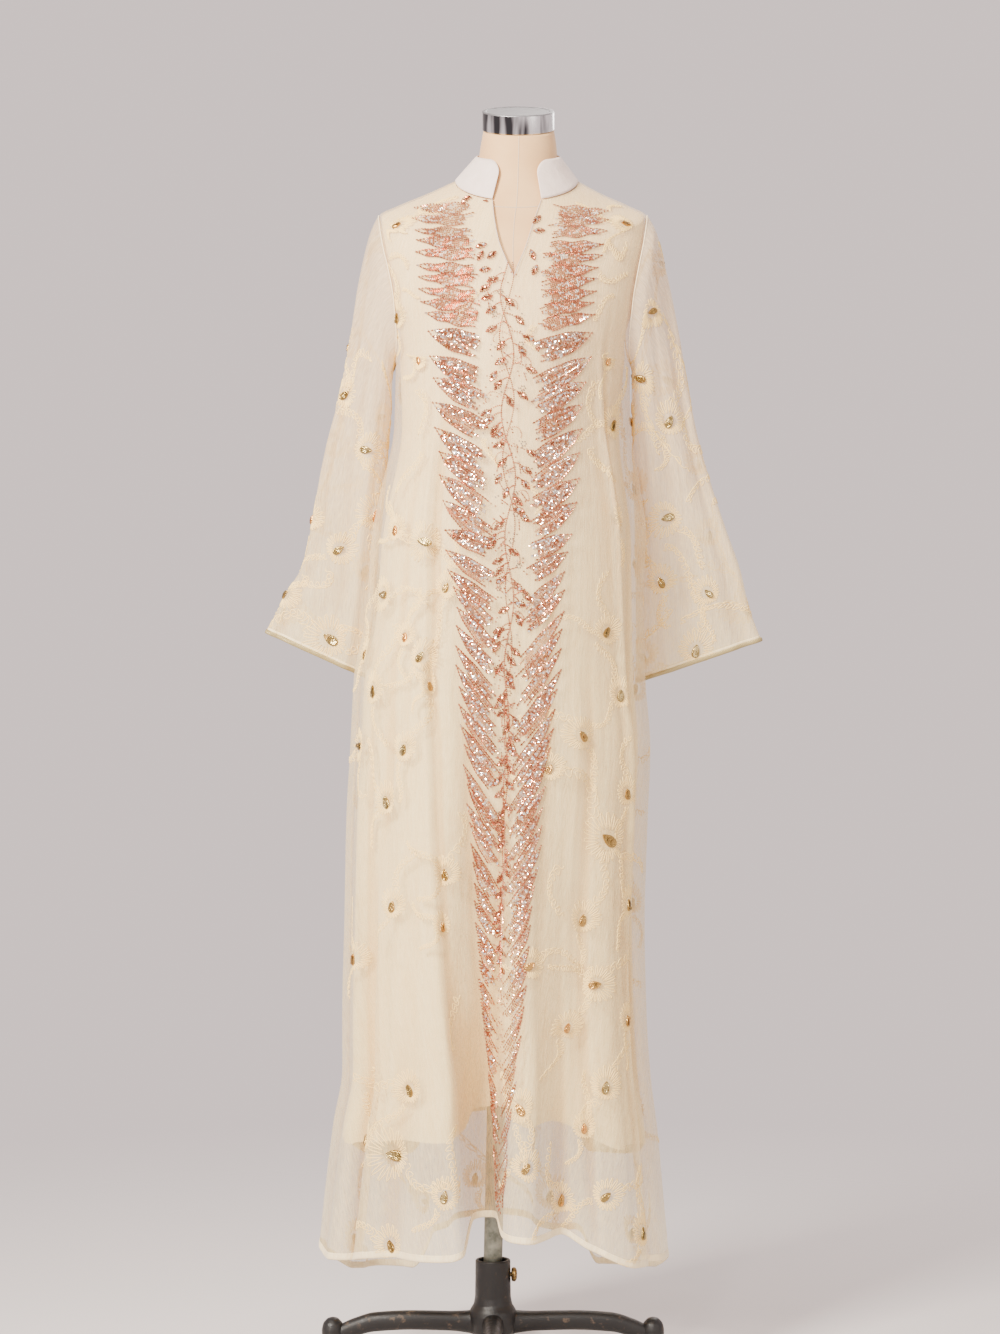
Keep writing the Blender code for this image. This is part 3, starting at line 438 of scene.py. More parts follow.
FOLDS = table(
    "top_angle hem_angle width_before width_after top_widen depth start power squareness",
    (-4.0, -1.8, 5.4, 5.4, 3.4, -0.078, 1.25, 1.9, 4.0),
    (-40.0, -15.0, 20.0, 8.0, 1.6, 0.028, 1.32, 0.9, 2.0),
    (16.0, 11.0, 6.0, 7.0, 1.5, 0.018, 0.95, 1.3, 2.0),
    (34.0, 25.0, 7.0, 8.0, 1.2, -0.026, 0.90, 1.2, 2.0),
    (56.0, 48.0, 9.0, 8.0, 1.0, 0.012, 1.00, 0.8, 2.0),
    (66.0, 66.0, 5.0, 5.0, 1.0, -0.020, 1.30, 0.5, 2.0),
    (-28.0, -34.0, 7.0, 7.0, 1.0, -0.014, 0.80, 1.0, 2.0),
    (-44.0, -60.0, 5.5, 5.5, 1.0, -0.028, 0.90, 0.7, 2.0),
    (118.0, 118.0, 9.0, 9.0, 1.0, 0.010, 0.95, 1.0, 2.0),
    (140.0, 137.0, 9.0, 9.0, 1.0, 0.018, 0.95, 1.0, 2.0),
    (162.0, 158.0, 7.5, 8.0, 1.2, -0.048, 1.10, 1.3, 4.0),
    (180.0, 179.0, 8.0, 8.0, 1.0, 0.012, 1.00, 1.0, 2.0),
    (200.0, 203.0, 8.0, 7.5, 1.2, -0.050, 1.10, 1.3, 4.0),
    (218.0, 220.0, 7.0, 9.0, 1.0, 0.018, 0.95, 1.0, 2.0),
    (243.0, 243.0, 9.0, 9.0, 1.0, -0.012, 0.95, 1.0, 2.0),
)


def smooth_step(s):
    """0 to 1 with flat ends."""
    s = np.clip(s, 0.0, 1.0)
    return s * s * (3 - 2 * s)


def unit(vectors):
    """The same directions, one long."""
    return vectors / np.maximum(np.linalg.norm(vectors, axis=-1, keepdims=True), 1e-12)


def degrees_from(angle, middle):
    """How many degrees an angle is past a middle, from -180 to 180."""
    return (np.degrees(angle) - middle + 180.0) % 360.0 - 180.0


def half_width(level):
    """Half the body's width at a level."""
    return (read(BODY, "right", level) - read(BODY, "left", level)) / 2


def middle_x(level):
    """Where the body's middle is at a level, across."""
    return (read(BODY, "left", level) + read(BODY, "right", level)) / 2


def ring_point(source, level, angle):
    """Point on a ring: half an ellipse in front, half behind, sunk towards the front and back."""
    left, right, front, back, front_drop, back_drop = (
        read(source, key, level) for key in list(source)[1:]
    )
    ahead = np.cos(angle)
    depth = np.where(ahead > 0, front, back)
    drop = np.where(ahead > 0, front_drop, back_drop)
    x = (left + right) / 2 + (right - left) / 2 * np.sin(angle)
    return np.stack([x, -depth * ahead, level - drop * np.abs(ahead)], axis=-1)


def fold_push(level, angle):
    """Sum of the folds: each is a bell across the cloth, steeper if squarer, deeper to the hem."""
    total = np.zeros(np.broadcast(level, angle).shape)
    for top, hem, before, after, widen, depth, start, power, square in zip(*FOLDS.values()):
        down = np.clip((start - level) / (start - HEM_LEVEL), 0.0, 1.2)
        away = degrees_from(angle, top + (hem - top) * down)
        width = np.where(away < 0, before, after) * (widen + (1 - widen) * np.minimum(down, 1.0))
        total = total + depth * down**power * np.exp(-(np.abs(away / width) ** square))
    return total


def body_point(angle, level):
    """The chiffon's inner face: ring, folds pushed straight out, hem lifted and dropped."""
    angle, level = np.broadcast_arrays(np.asarray(angle, float), np.asarray(level, float))
    point = ring_point(BODY, level, angle)
    depth = np.where(np.cos(angle) > 0, read(BODY, "front", level), read(BODY, "back", level))
    out = unit(np.stack([np.sin(angle) / half_width(level), -np.cos(angle) / depth], axis=-1))
    point[..., :2] += out * fold_push(level, angle)[..., None]
    hem = read(HEM, "height", degrees_from(angle, 0.0))
    share = smooth_step((HEM_SHAPE_TOP - level) / (HEM_SHAPE_TOP - HEM_LEVEL))
    point[..., 2] += (hem - HEM_LEVEL) * share
    return point


def skin(surface, u, v, offset=0.0, steps=(0.02, -0.001)):
    """A surface's points moved along its outward direction, which is square to a small step along
    each of its two ways. Returns the points and the directions."""
    u, v = np.broadcast_arrays(np.asarray(u, float), np.asarray(v, float))
    along = surface(u + steps[0], v) - surface(u - steps[0], v)
    down = surface(u, v + steps[1]) - surface(u, v - steps[1])
    out = unit(np.cross(down, along))
    return surface(u, v) + out * np.asarray(offset + 0 * u)[..., None], out


# Dress form
# A limbless torso in one piece with its neck: a moulded shell under beige cotton, with a seam down
# the middle of the front and back and one round the foot of the neck.

NECK = table(
    "level left right front back front_drop back_drop",
    (1.6790, -0.0415, 0.0545, 0.0480, 0.0480, 0.0156, -0.0156),
    (1.6600, -0.0450, 0.0575, 0.0510, 0.0510, 0.0150, -0.0140),
    (1.6436, -0.0475, 0.0590, 0.0530, 0.0530, 0.0150, -0.0120),
    (1.6280, -0.0530, 0.0635, 0.0560, 0.0550, 0.0200, -0.0110),
)
FORM_BOTTOM = 0.86
FORM_LOW_LEVELS = (1.31, 1.25, 1.19, 1.13, 1.07, 1.01, 0.94, FORM_BOTTOM)
FORM_SIDES = 144
POLE_HOLE_RADIUS = 0.0133
POLE_HOLE_TOP = FORM_BOTTOM + 0.060
YOKE_ROWS = 4
ARMHOLE_ROWS = 8
SKIRT_ROWS = 19


def between_rings(rings, times):
    """Puts more rings between each two, on a smooth curve through them."""
    places = np.linspace(0, len(rings) - 1, times * (len(rings) - 1) + 1)
    return smooth_read(np.arange(len(rings)), rings, places)


def form_point(angle, level):
    """The form under the garment: the body's rings moved in, on the leaning axis lower down."""

    def ring(a, z):
        """The garment's ring without its folds."""
        return ring_point(BODY, z, a)

    point, _ = skin(ring, angle, level, -read(INSIDE, "form", level))
    point[..., 0] += (axis_x(level) - middle_x(level)) * read(INSIDE, "own_lean", level)
    return point


def rows_of_levels(hem_level, skirt_rows):
    """Side heights of a panel's rows: yoke, armhole, closer at its ends, then skirt."""
    yoke = np.linspace(NECK_LEVEL, SHOULDER_LEVEL, YOKE_ROWS + 1)[:-1]
    swing = np.cos(np.linspace(0, math.pi, ARMHOLE_ROWS + 1))
    armhole = ARMHOLE_MIDDLE + ARMHOLE_HALF_HEIGHT * swing
    skirt = np.linspace(UNDERARM_LEVEL, hem_level, skirt_rows + 1)[1:]
    return np.concatenate([yoke, armhole, skirt])


coarse_levels = rows_of_levels(HEM_LEVEL, SKIRT_ROWS)
covered = coarse_levels[: YOKE_ROWS + ARMHOLE_ROWS + 1]
turn = np.linspace(-math.pi, math.pi, FORM_SIDES + 1)
neck_levels = NECK["level"][:, None] + 0 * turn
form_levels = np.concatenate([covered, FORM_LOW_LEVELS])[:, None] + 0 * turn
neck_rings = ring_point(NECK, neck_levels, turn + 0 * neck_levels)
coarse = np.concatenate([neck_rings, form_point(turn + 0 * form_levels, form_levels)])
coarse[-1, :, 2] = FORM_BOTTOM
torso = between_rings(coarse, 6)
hole = np.stack([POLE_HOLE_RADIUS * np.sin(turn), -POLE_HOLE_RADIUS * np.cos(turn), 0 * turn], -1)
hole_edges = [hole + np.array([axis_x(z), 0.0, z]) for z in (FORM_BOTTOM, POLE_HOLE_TOP)]
hole_end = 0 * hole + np.array([axis_x(POLE_HOLE_TOP), 0.0, POLE_HOLE_TOP])
neck_end = 0 * hole + torso[0].mean(0)
torso = np.concatenate([neck_end[None], torso, [*hole_edges, hole_end]])
around = (np.degrees(turn) / 360.0)[None] + 0 * torso[..., 0]
form_uv = np.stack([around, torso[..., 2]], -1).reshape(-1, 2)

cotton, tree = new_material("beige_cotton", roughness=0.85, Sheen_Weight=0.25, Sheen_Roughness=0.5)
here = object_point(tree)
weave = noise(tree, here, (1400.0, 1400.0, 2200.0))
stain = noise(tree, here, 14.0, 4.0)
beige = ((0.76, 0.475, 0.215), (0.66, 0.38, 0.16))
coat(tree, stain, beige, (0.00035, 0.6), (0.35, 0.7), weave)
place("form_torso", stack([torso]), cotton, "form_cover", ("dress_form",), form_uv)


# Neck cap
# A short pressed drum that closes the neck, chromed round its side, where dark and bright streaks of
# painted reflection run up and down. Its top is brushed and dull. It sits tilted forwards on the neck's
# cut end.

CAP_RADIUS = 0.0490
CAP_HEIGHT = 0.0260
CAP_TILT = math.radians(18.0)
CAP_PROFILE = (
    (0.0, CAP_HEIGHT - 0.0006), (CAP_RADIUS - 0.0062, CAP_HEIGHT - 0.0006),
    (CAP_RADIUS - 0.0050, CAP_HEIGHT), (CAP_RADIUS - 0.0010, CAP_HEIGHT),
    (CAP_RADIUS, CAP_HEIGHT - 0.0012), (CAP_RADIUS, 0.0012), (CAP_RADIUS - 0.0012, 0.0),
    (0.0, 0.0),
)
NECK_TOP = NECK["level"][0]
cap_seat = (axis_x(NECK_TOP), -SEAM_GAP * math.sin(CAP_TILT), NECK_TOP + 2 * SEAM_GAP)


def worked(tree, operation, *numbers):
    """A number worked out from others. Each may be a number or a node's output."""
    made = tree.nodes.new("ShaderNodeMath")
    made.operation = operation
    for index, value in enumerate(numbers):
        plug(tree, value, made.inputs[index])
    return made.outputs[0]


chrome, tree = new_material("dulled_chrome", roughness=0.12, metallic=1.0)
here = object_point(tree)
centred = node(tree, "ShaderNodeMapping", Vector=here, Location=tuple(-at for at in cap_seat))
upright = node(tree, "ShaderNodeMapping", Vector=centred, Rotation=(-CAP_TILT, 0.0, 0.0))
smear_and_reflection = noise(tree, upright, (60.0, 60.0, 9.0), 3.0, Roughness=0.4)
fine = noise(tree, here, 1500.0)
cap_level = node(tree, "ShaderNodeSeparateXYZ", Vector=upright).node.outputs["Z"]
on_top = spread(tree, cap_level, CAP_HEIGHT - 0.0020, CAP_HEIGHT - 0.0010)
# Painted reflections: the side's colour swings from near black to bright in upright streaks, as dark
# and bright surroundings would show in chrome; the same streaks also vary its dullness.
painted_reflection_side = mixed(tree, spread(tree, smear_and_reflection, 0.42, 0.56), (0.06, 0.06, 0.065), (0.78, 0.78, 0.80))
brushed = mixed(tree, spread(tree, fine, 0.3, 0.7), (0.30, 0.30, 0.31), (0.42, 0.42, 0.43))
side_dullness = spread(tree, smear_and_reflection, 0.3, 0.7, 0.10, 0.28)
top_dullness = spread(tree, on_top, 0.0, 1.0, 0.0, 0.45)
into(
    tree,
    Base_Color=mixed(tree, on_top, painted_reflection_side, brushed),
    Roughness=worked(tree, "MAXIMUM", side_dullness, top_dullness),
    Normal=bump(tree, fine, 0.0001, 0.25),
)
drum = [lathe(CAP_PROFILE, 96, 0.2)]
turned("cap_drum", drum, cap_seat, chrome, "cap_metal", "neck_cap", "x", CAP_TILT)


# Slip lining
# Two panels of plain cream cloth, sewn in at the neck and armholes and cut shorter than the
# chiffon. It is opaque, and gives the body of the garment its colour through the sheer cloth.

LINING_WALL = 0.0010
LINING_HEM_LEVEL = 0.3100
SLIT_HALF_WIDTH = 0.0328
SLIT_LEVEL = coarse_levels[YOKE_ROWS + 3]


def armhole_angle(level, depths):
    """How far round each half of the body the cloth reaches: to the side, or to the armhole."""
    inside = np.clip(1 - ((level - ARMHOLE_MIDDLE) / ARMHOLE_HALF_HEIGHT) ** 2, 0.0, 1.0)
    return np.arccos(ARMHOLE_HALF_DEPTH * np.sqrt(inside) / depths)


def panel_columns(levels, centre, count, gap):
    """Angle of every column at every row: even at the top, even along the folded cloth lower down."""
    depths = read(BODY, "front" if centre == 0 else "back", levels)
    reach = armhole_angle(levels, depths) - gap / 2 / depths
    fine = np.linspace(-math.pi / 2, math.pi / 2, 1441)
    run = body_point(fine + centre, HEM_LEVEL)
    length = np.concatenate([[0.0], np.cumsum(np.linalg.norm(np.diff(run, axis=0), axis=1))])
    folded = np.interp(np.linspace(0, length[-1], count + 1), length, fine)
    plain = np.linspace(-math.pi / 2, math.pi / 2, count + 1)
    share = smooth_step((1.3 - levels) / 0.6)[:, None]
    return centre + (plain * (1 - share) + folded * share) / (math.pi / 2) * reach[:, None]


def slit_angle(levels):
    """How far round each side of the front the V's edge is: a straight line to its tip."""
    share = np.clip((levels - SLIT_LEVEL) / (NECK_LEVEL - SLIT_LEVEL), 0.0, 1.0)
    return np.arcsin(share * SLIT_HALF_WIDTH / half_width(levels))


def slit_columns(levels, angles):
    """Opens a front panel's middle column into the V, by moving each half's columns outwards."""
    half = (angles.shape[1] - 1) // 2
    slit = slit_angle(levels)[:, None]
    first, centre, last = angles[:, :1], angles[:, half : half + 1], angles[:, -1:]
    left = first + (angles[:, : half + 1] - first) * (-slit - first) / (centre - first)
    right = last + (angles[:, half:] - last) * (slit - last) / (centre - last)
    return np.concatenate([left, right], axis=1)


def cloth_uv(points):
    """Place on the cloth in metres: across from the middle column, and up from the lower edge,
    both added up along the cloth itself."""
    across = np.linalg.norm(np.diff(points, axis=1), axis=2).cumsum(1)
    across = np.concatenate([np.zeros((len(points), 1)), across], 1)
    across = across - across[:, across.shape[1] // 2][:, None]
    up = np.linalg.norm(np.diff(points[::-1], axis=0), axis=2).cumsum(0)
    up = np.concatenate([np.zeros((1, points.shape[1])), up])[::-1]
    return np.stack([across, up], -1).reshape(-1, 2)


def panel(name, solid, levels, centre, count, gap, offset, looks, hollow=None):
    """A front or back panel: its own columns at each level, moved off the body's surface by an
    offset. A front panel leaves out the faces of its middle column, which is the V."""
    angles = panel_columns(levels, centre, count, gap)
    if centre == 0:
        angles = slit_columns(levels, angles)
    grid_levels = levels[:, None] + 0 * angles
    points, _ = skin(body_point, angles, grid_levels, offset(angles, grid_levels))
    faces = quads(*points.shape[:2])
    if centre == 0:
        middle = np.arange(len(levels) - 1) * (angles.shape[1] - 1) + count // 2
        faces = np.delete(faces, middle, axis=0)
    # The hollow values are painted shade for the cloth's colour, one a point.
    values = {"hollow": hollow(angles, grid_levels)} if hollow else None
    return place(name, (points.reshape(-1, 3), faces), *looks, (solid,), cloth_uv(points), values)


def lining_offset(angle, level):
    """How far the lining's outer face lies inside the chiffon."""
    return LINING_WALL - read(INSIDE, "lining", level)


def even_rows(coarse, times):
    """Puts more rows between each two levels."""
    places = np.arange(len(coarse))
    return np.interp(np.linspace(0, places[-1], times * places[-1] + 1), places, coarse)


slip, tree = new_material("cream_slip", roughness=0.7, Sheen_Weight=0.3, Sheen_Roughness=0.4)
on_cloth = node(tree, "ShaderNodeUVMap")
thread = noise(tree, on_cloth, (1500.0, 900.0, 1.0))
# Painted crease shade: the cream darkens along a stretched cloudy pattern, with no creases in the
# surface there.
crease_shade = noise(tree, on_cloth, (34.0, 7.0, 1.0), 4.0)
coat(tree, crease_shade, ((0.97, 0.80, 0.44), (0.91, 0.71, 0.35)), (0.0002, 0.5), raised=thread)
lining_levels = even_rows(rows_of_levels(LINING_HEM_LEVEL, 10), 7)
for word, centre in (("front", 0.0), ("back", math.pi)):
    build = (lining_levels, centre, 120, 3 * SEAM_GAP, lining_offset, (slip, "slip"))
    panel("slip_" + word, "lining_" + word, *build)


# Chiffon body
# A front and a back panel of sheer crinkled chiffon, seamed at the shoulders and sides and turned
# up in a narrow stitched hem. It falls in soft uneven creases between the larger folds.

CREASES = table(
    "top_angle hem_angle width depth start end",
    (-72.0, -78.0, 6.0, -0.0056, 1.30, 0.10), (-59.0, -63.5, 3.2, 0.0050, 0.98, 0.10),
    (-54.0, -57.5, 2.4, -0.0070, 0.96, 0.10), (-50.0, -45.0, 5.0, 0.0050, 1.15, 0.10),
    (-47.0, -39.0, 2.6, -0.0032, 1.36, 0.70), (-40.2, -9.8, 2.2, 0.0080, 1.38, 0.08),
    (-36.6, -6.2, 2.8, -0.0112, 1.38, 0.08), (-24.0, 1.0, 3.0, 0.0034, 1.10, 0.30),
    (8.5, 5.5, 2.6, 0.0036, 1.00, 0.10), (22.0, 15.0, 3.4, -0.0044, 1.20, 0.10),
    (31.0, 28.0, 3.8, 0.0046, 1.05, 0.18), (37.0, 36.0, 2.8, -0.0048, 1.00, 0.12),
    (45.0, 73.5, 2.8, 0.0068, 1.50, 0.30), (48.5, 77.0, 2.8, -0.0105, 1.50, 0.30),
    (62.0, 58.0, 4.0, 0.0050, 0.95, 0.10), (88.0, 88.0, 9.0, 0.0062, 1.50, 1.05),
    (98.0, 97.0, 6.0, 0.0046, 1.20, 0.10), (109.0, 107.0, 4.0, -0.0056, 1.28, 0.10),
    (127.0, 126.0, 4.4, -0.0060, 1.25, 0.32), (148.0, 146.0, 4.0, -0.0050, 1.30, 0.10),
    (156.0, 152.0, 2.8, 0.0040, 1.15, 0.50), (173.0, 171.0, 3.6, 0.0044, 1.20, 0.10),
    (187.0, 186.0, 2.8, -0.0040, 1.28, 0.26), (209.0, 211.0, 3.8, 0.0044, 1.24, 0.45),
    (228.0, 230.0, 4.4, -0.0056, 1.30, 0.10), (251.0, 252.0, 4.8, 0.0042, 1.22, 0.10),
    (260.0, 262.0, 3.8, -0.0044, 1.10, 0.10),
)
CHIFFON_LIFT = 0.0006
RIPPLE_HEIGHT = 0.00016
FRONT_COLUMNS = 300
BACK_COLUMNS = 240
TURNED_HEM = 0.0084


def crease_push(angle, level):
    """Soft creases: each is a bell across the cloth that wanders a little as it goes down, fades in
    below its start and out above its end, and stays shallow where the lining is close. A weaker
    ripple of three uneven waves runs between them."""
    total = np.zeros(np.broadcast(angle, level).shape)
    for number, (top, hem, width, depth, start, end) in enumerate(zip(*CREASES.values())):
        down = np.clip((start - level) / (start - HEM_LEVEL), 0.0, 1.2)
        wander = 0.8 * np.sin(5.0 * level + 2.1 * number)
        away = degrees_from(angle, top + (hem - top) * down + wander)
        fade = smooth_step((start - level) / 0.25) * smooth_step((level - end) / 0.12 + 0.2)
        total = total + depth * fade * np.exp(-((away / width) ** 2))
    ripple = (
        np.sin(46 * angle + 2.0 * np.sin(3.1 * level))
        + 0.7 * np.sin(73 * angle + 3.0 * np.sin(2.3 * level + 1.0))
        + 0.5 * np.sin(113 * angle + 2.5 * np.sin(4.7 * level + 2.0))
    )
    total = total + RIPPLE_HEIGHT * ripple * (0.5 + smooth_step((1.2 - level) / 0.5))
    return total * np.clip((read(INSIDE, "lining", level) - 0.0012) / 0.012, 0.12, 1.0)


def chiffon_offset(angle, level):
    """Where the chiffon lies on the body's surface."""
    return crease_push(angle, level) + CHIFFON_LIFT


def painted_hollow_shade(angle, level):
    """Painted shade for the chiffon's colour: 0 on open cloth and 1 in the valleys, from how far the
    cloth lies below the middle of what is beside it, a finger's width each way, and painted shade on
    the shut-in cloth beside each sleeve under the arm."""

    def below(beside):
        """How far the cloth here lies below the mean of both sides."""
        pushes = [fold_push(level, a) + crease_push(a, level) for a in (angle - beside, angle + beside)]
        return (pushes[0] + pushes[1]) / 2 - here

    here = fold_push(level, angle) + crease_push(angle, level)
    to_side = smooth_step((0.30 - np.abs(np.cos(angle))) / 0.24)
    # Painted shade on the cloth shut in beside each sleeve under the arm.
    under_arm_shade = np.exp(-(((level - 1.26) / 0.09) ** 2)) * to_side
    deep, sharp = below(math.radians(6.0)), below(math.radians(2.6))
    return np.clip(deep / 0.011 + sharp / 0.0048 + 0.9 * under_arm_shade, -1.0, 1.0)


def crinkled(name, cover):
    """Fine upright crinkles over broader puckers, with painted warm shade in the hollows, more or less
    see-through from crinkle to crinkle, and solid in the turned hem. Cover is how solid it is at each
    end."""
    material, tree = new_material(name, roughness=0.75, Sheen_Weight=0.35, Sheen_Roughness=0.45)
    on_cloth = node(tree, "ShaderNodeUVMap")
    crinkle = noise(tree, on_cloth, (560.0, 70.0, 1.0), 3.0, Roughness=0.55, Distortion=0.3)
    pucker = noise(tree, on_cloth, (130.0, 24.0, 1.0), 3.0, Distortion=0.5)
    streak = noise(tree, on_cloth, (330.0, 5.0, 1.0), 4.0, Roughness=0.6)
    deep = node(tree, "ShaderNodeAttribute", {"attribute_name": "hollow"}).node.outputs["Fac"]
    above_hem = node(tree, "ShaderNodeSeparateXYZ", Vector=on_cloth).node.outputs["Y"]
    in_band = spread(tree, above_hem, TURNED_HEM, TURNED_HEM - 0.0004)
    height_up = node(tree, "ShaderNodeSeparateXYZ", Vector=object_point(tree)).node.outputs["Z"]
    ridge = spread(tree, pucker, 0.3, 0.7)
    lower = mixed(tree, ridge, (0.88, 0.69, 0.35), (0.95, 0.78, 0.43))
    upper = mixed(tree, ridge, (0.89, 0.66, 0.37), (0.96, 0.74, 0.45))
    lit = mixed(tree, spread(tree, height_up, 0.95, 1.35), lower, upper)
    lit = mixed(tree, spread(tree, streak, 0.52, 0.28, 0.0, 0.55), lit, (0.76, 0.54, 0.26))
    # Painted shade: the cloth turns tan where the hollow values are high, in fold valleys and under the
    # arms.
    hollow_shade_share = spread(tree, deep, 0.05, 1.0, 0.0, 0.92)
    cloth = spread(tree, crinkle, 0.30, 0.70, *cover)
    height = worked(tree, "MULTIPLY_ADD", pucker, 1.6, crinkle)
    into(
        tree,
        Base_Color=mixed(tree, hollow_shade_share, lit, (0.74, 0.49, 0.20)),
        Alpha=worked(tree, "MAXIMUM", cloth, in_band),
        Normal=bump(tree, height, 0.0011, 0.8),
    )
    return material


chiffon = crinkled("crinkled_chiffon", (0.25, 0.56))
body_levels = even_rows(coarse_levels, 9)
shared = (SEAM_GAP, chiffon_offset, (chiffon, "chiffon"), painted_hollow_shade)
front = panel("chiffon_front", "front", body_levels, 0.0, FRONT_COLUMNS, *shared)
back = panel("chiffon_back", "back", body_levels, math.pi, BACK_COLUMNS, *shared)


# Turned hem of the body
# The chiffon is folded twice at its lower edge and stitched, which makes a narrow denser band. It
# is one flat tube of cloth along the front's and back's own edges.

HEM_SECTION = (
    (0.0088, 0.0007), (0.0080, 0.0012), (0.0070, 0.0009), (0.0048, 0.0014), (0.0018, 0.0015),
    (0.0002, 0.0011), (-0.0006, 0.0005), (0.0002, -0.0003), (0.0018, -0.0006), (0.0080, -0.0004),
    (0.0088, 0.0003),
)


def cloth_piece(name, grid, material, slot, solids=(), values=None, welded=True):
    """A grid of cloth as a piece, with its own measure of the cloth."""
    return place(name, stack([grid]), material, slot, solids, cloth_uv(grid), values, welded)


hem_cloth, tree = new_material("turned_hem", roughness=0.7, Sheen_Weight=0.3, Sheen_Roughness=0.45)
gathers = noise(tree, node(tree, "ShaderNodeUVMap"), (420.0, 90.0, 1.0), 3.0)
coat(tree, gathers, ((0.82, 0.64, 0.36), (0.93, 0.79, 0.50)), (0.0008, 0.7))
hems = {}
for word, centre, count in (("front", 0.0, FRONT_COLUMNS), ("back", math.pi, BACK_COLUMNS)):
    heights, offsets = np.array(HEM_SECTION).T
    turns = panel_columns(np.full(len(heights), HEM_LEVEL), centre, count, SEAM_GAP)
    levels = heights[:, None] + HEM_LEVEL + 0 * turns
    band, _ = skin(body_point, turns, levels, crease_push(turns, levels) + offsets[:, None])
    hems[word] = cloth_piece("hem_" + word, band, hem_cloth, "chiffon", welded=False)


# Sleeves
# Each is one piece of chiffon without a lining, seamed under the arm, sewn into the armhole and
# flared towards the hem. The cloth is sheer, so its far side shows through.

GRID_STEPS = (0.8, 0.8)
SLEEVE_COLUMNS = 128
SLEEVE_STEPS = 14
SLEEVE_SECTIONS = "outer_x outer_z inner_x inner_z middle_y half_depth"
SLEEVE_RIGHT = table(
    SLEEVE_SECTIONS,
    (-0.1930, 1.5440, -0.1660, 1.3480, 0.002, 0.048),
    (-0.2100, 1.4763, -0.1670, 1.3230, 0.008, 0.045),
    (-0.2240, 1.3866, -0.1690, 1.2880, 0.018, 0.040),
    (-0.2394, 1.3145, -0.1730, 1.2430, 0.028, 0.035),
    (-0.2540, 1.2600, -0.1770, 1.2020, 0.036, 0.032),
    (-0.2650, 1.2090, -0.1810, 1.1600, 0.044, 0.030),
    (-0.2761, 1.1472, -0.1860, 1.0980, 0.052, 0.028),
    (-0.2897, 1.0887, -0.1890, 1.0380, 0.060, 0.027),
    (-0.3114, 1.0534, -0.1930, 0.9860, 0.067, 0.026),
    (-0.3416, 0.9962, -0.1985, 0.9320, 0.074, 0.026),
)
SLEEVE_LEFT = table(
    SLEEVE_SECTIONS,
    (0.1900, 1.5480, 0.1620, 1.3480, 0.002, 0.048),
    (0.2050, 1.4950, 0.1610, 1.3230, 0.008, 0.045),
    (0.2240, 1.4050, 0.1620, 1.2880, 0.018, 0.040),
    (0.2395, 1.3180, 0.1630, 1.2430, 0.028, 0.035),
    (0.2540, 1.2520, 0.1645, 1.2020, 0.036, 0.032),
    (0.2690, 1.2020, 0.1660, 1.1600, 0.044, 0.030),
    (0.2900, 1.1400, 0.1680, 1.0980, 0.052, 0.028),
    (0.3114, 1.0806, 0.1690, 1.0380, 0.060, 0.027),
    (0.3223, 1.0362, 0.1700, 0.9820, 0.067, 0.026),
    (0.3414, 0.9854, 0.1710, 0.9280, 0.074, 0.026),
)
SLEEVE_CREASES = table(
    "top_turn hem_turn width depth start end",
    (26.0, 20.0, 12.0, 0.0032, 0.06, 1.10), (50.0, 40.0, 10.0, -0.0034, 0.16, 1.10),
    (84.0, 96.0, 12.0, -0.0034, 0.10, 0.92), (106.0, 122.0, 10.0, 0.0034, 0.26, 1.10),
    (206.0, 216.0, 11.0, 0.0030, 0.30, 1.10), (238.0, 232.0, 10.0, -0.0032, 0.14, 1.10),
    (270.0, 284.0, 12.0, 0.0036, 0.20, 1.10), (304.0, 316.0, 9.0, -0.0034, 0.10, 0.95),
    (340.0, 344.0, 10.0, -0.0028, 0.24, 1.10),
)


def sleeve_rings(sleeve, side, count):
    """Rings of a sleeve: the armhole's own edge first, then flattened ovals down to the hem. The
    last column repeats the first."""
    turn = np.linspace(0, 2 * math.pi, count + 1)
    level = ARMHOLE_MIDDLE + ARMHOLE_HALF_HEIGHT * np.cos(turn)
    in_front = np.sin(turn) >= 0
    depth = np.where(in_front, read(BODY, "front", level), read(BODY, "back", level))
    reach = armhole_angle(level, depth)
    angle = np.where(in_front, side * reach, math.pi - side * reach)
    clearance = CLOTH_WALL + SEAM_GAP / 2 + CLOTH_WALL * (1 - np.cos(turn)) / 2
    armhole, _ = skin(body_point, angle, level, clearance)
    rings = [armhole + np.array([side * SEAM_GAP, 0.0, 0.0])]
    for outer_x, outer_z, inner_x, inner_z, middle_y, deep in zip(*sleeve.values()):
        x = (outer_x + inner_x) / 2 + (outer_x - inner_x) / 2 * np.cos(turn)
        z = (outer_z + inner_z) / 2 + (outer_z - inner_z) / 2 * np.cos(turn)
        rings.append(np.stack([x, middle_y - deep * np.sin(turn), z], axis=-1))
    rings = np.array(rings)
    return rings[:, ::-1] if side > 0 else rings


def on_grid(points, closed=False):
    """The surface through a fine grid of points, as a function: u counts its columns and v its
    rows, and a closed grid's last column repeats its first."""
    rows, columns = points.shape[:2]

    def surface(u, v):
        """A straight blend of the four grid points round a place."""
        u = u % (columns - 1) if closed else np.clip(u, 0, columns - 1.0001)
        v = np.clip(v, 0, rows - 1.0001)
        c, r = np.floor(u).astype(int), np.floor(v).astype(int)
        s, t = (u - c)[..., None], (v - r)[..., None]
        upper = points[r, c] * (1 - s) + points[r, c + 1] * s
        lower = points[r + 1, c] * (1 - s) + points[r + 1, c + 1] * s
        return upper * (1 - t) + lower * t

    return surface


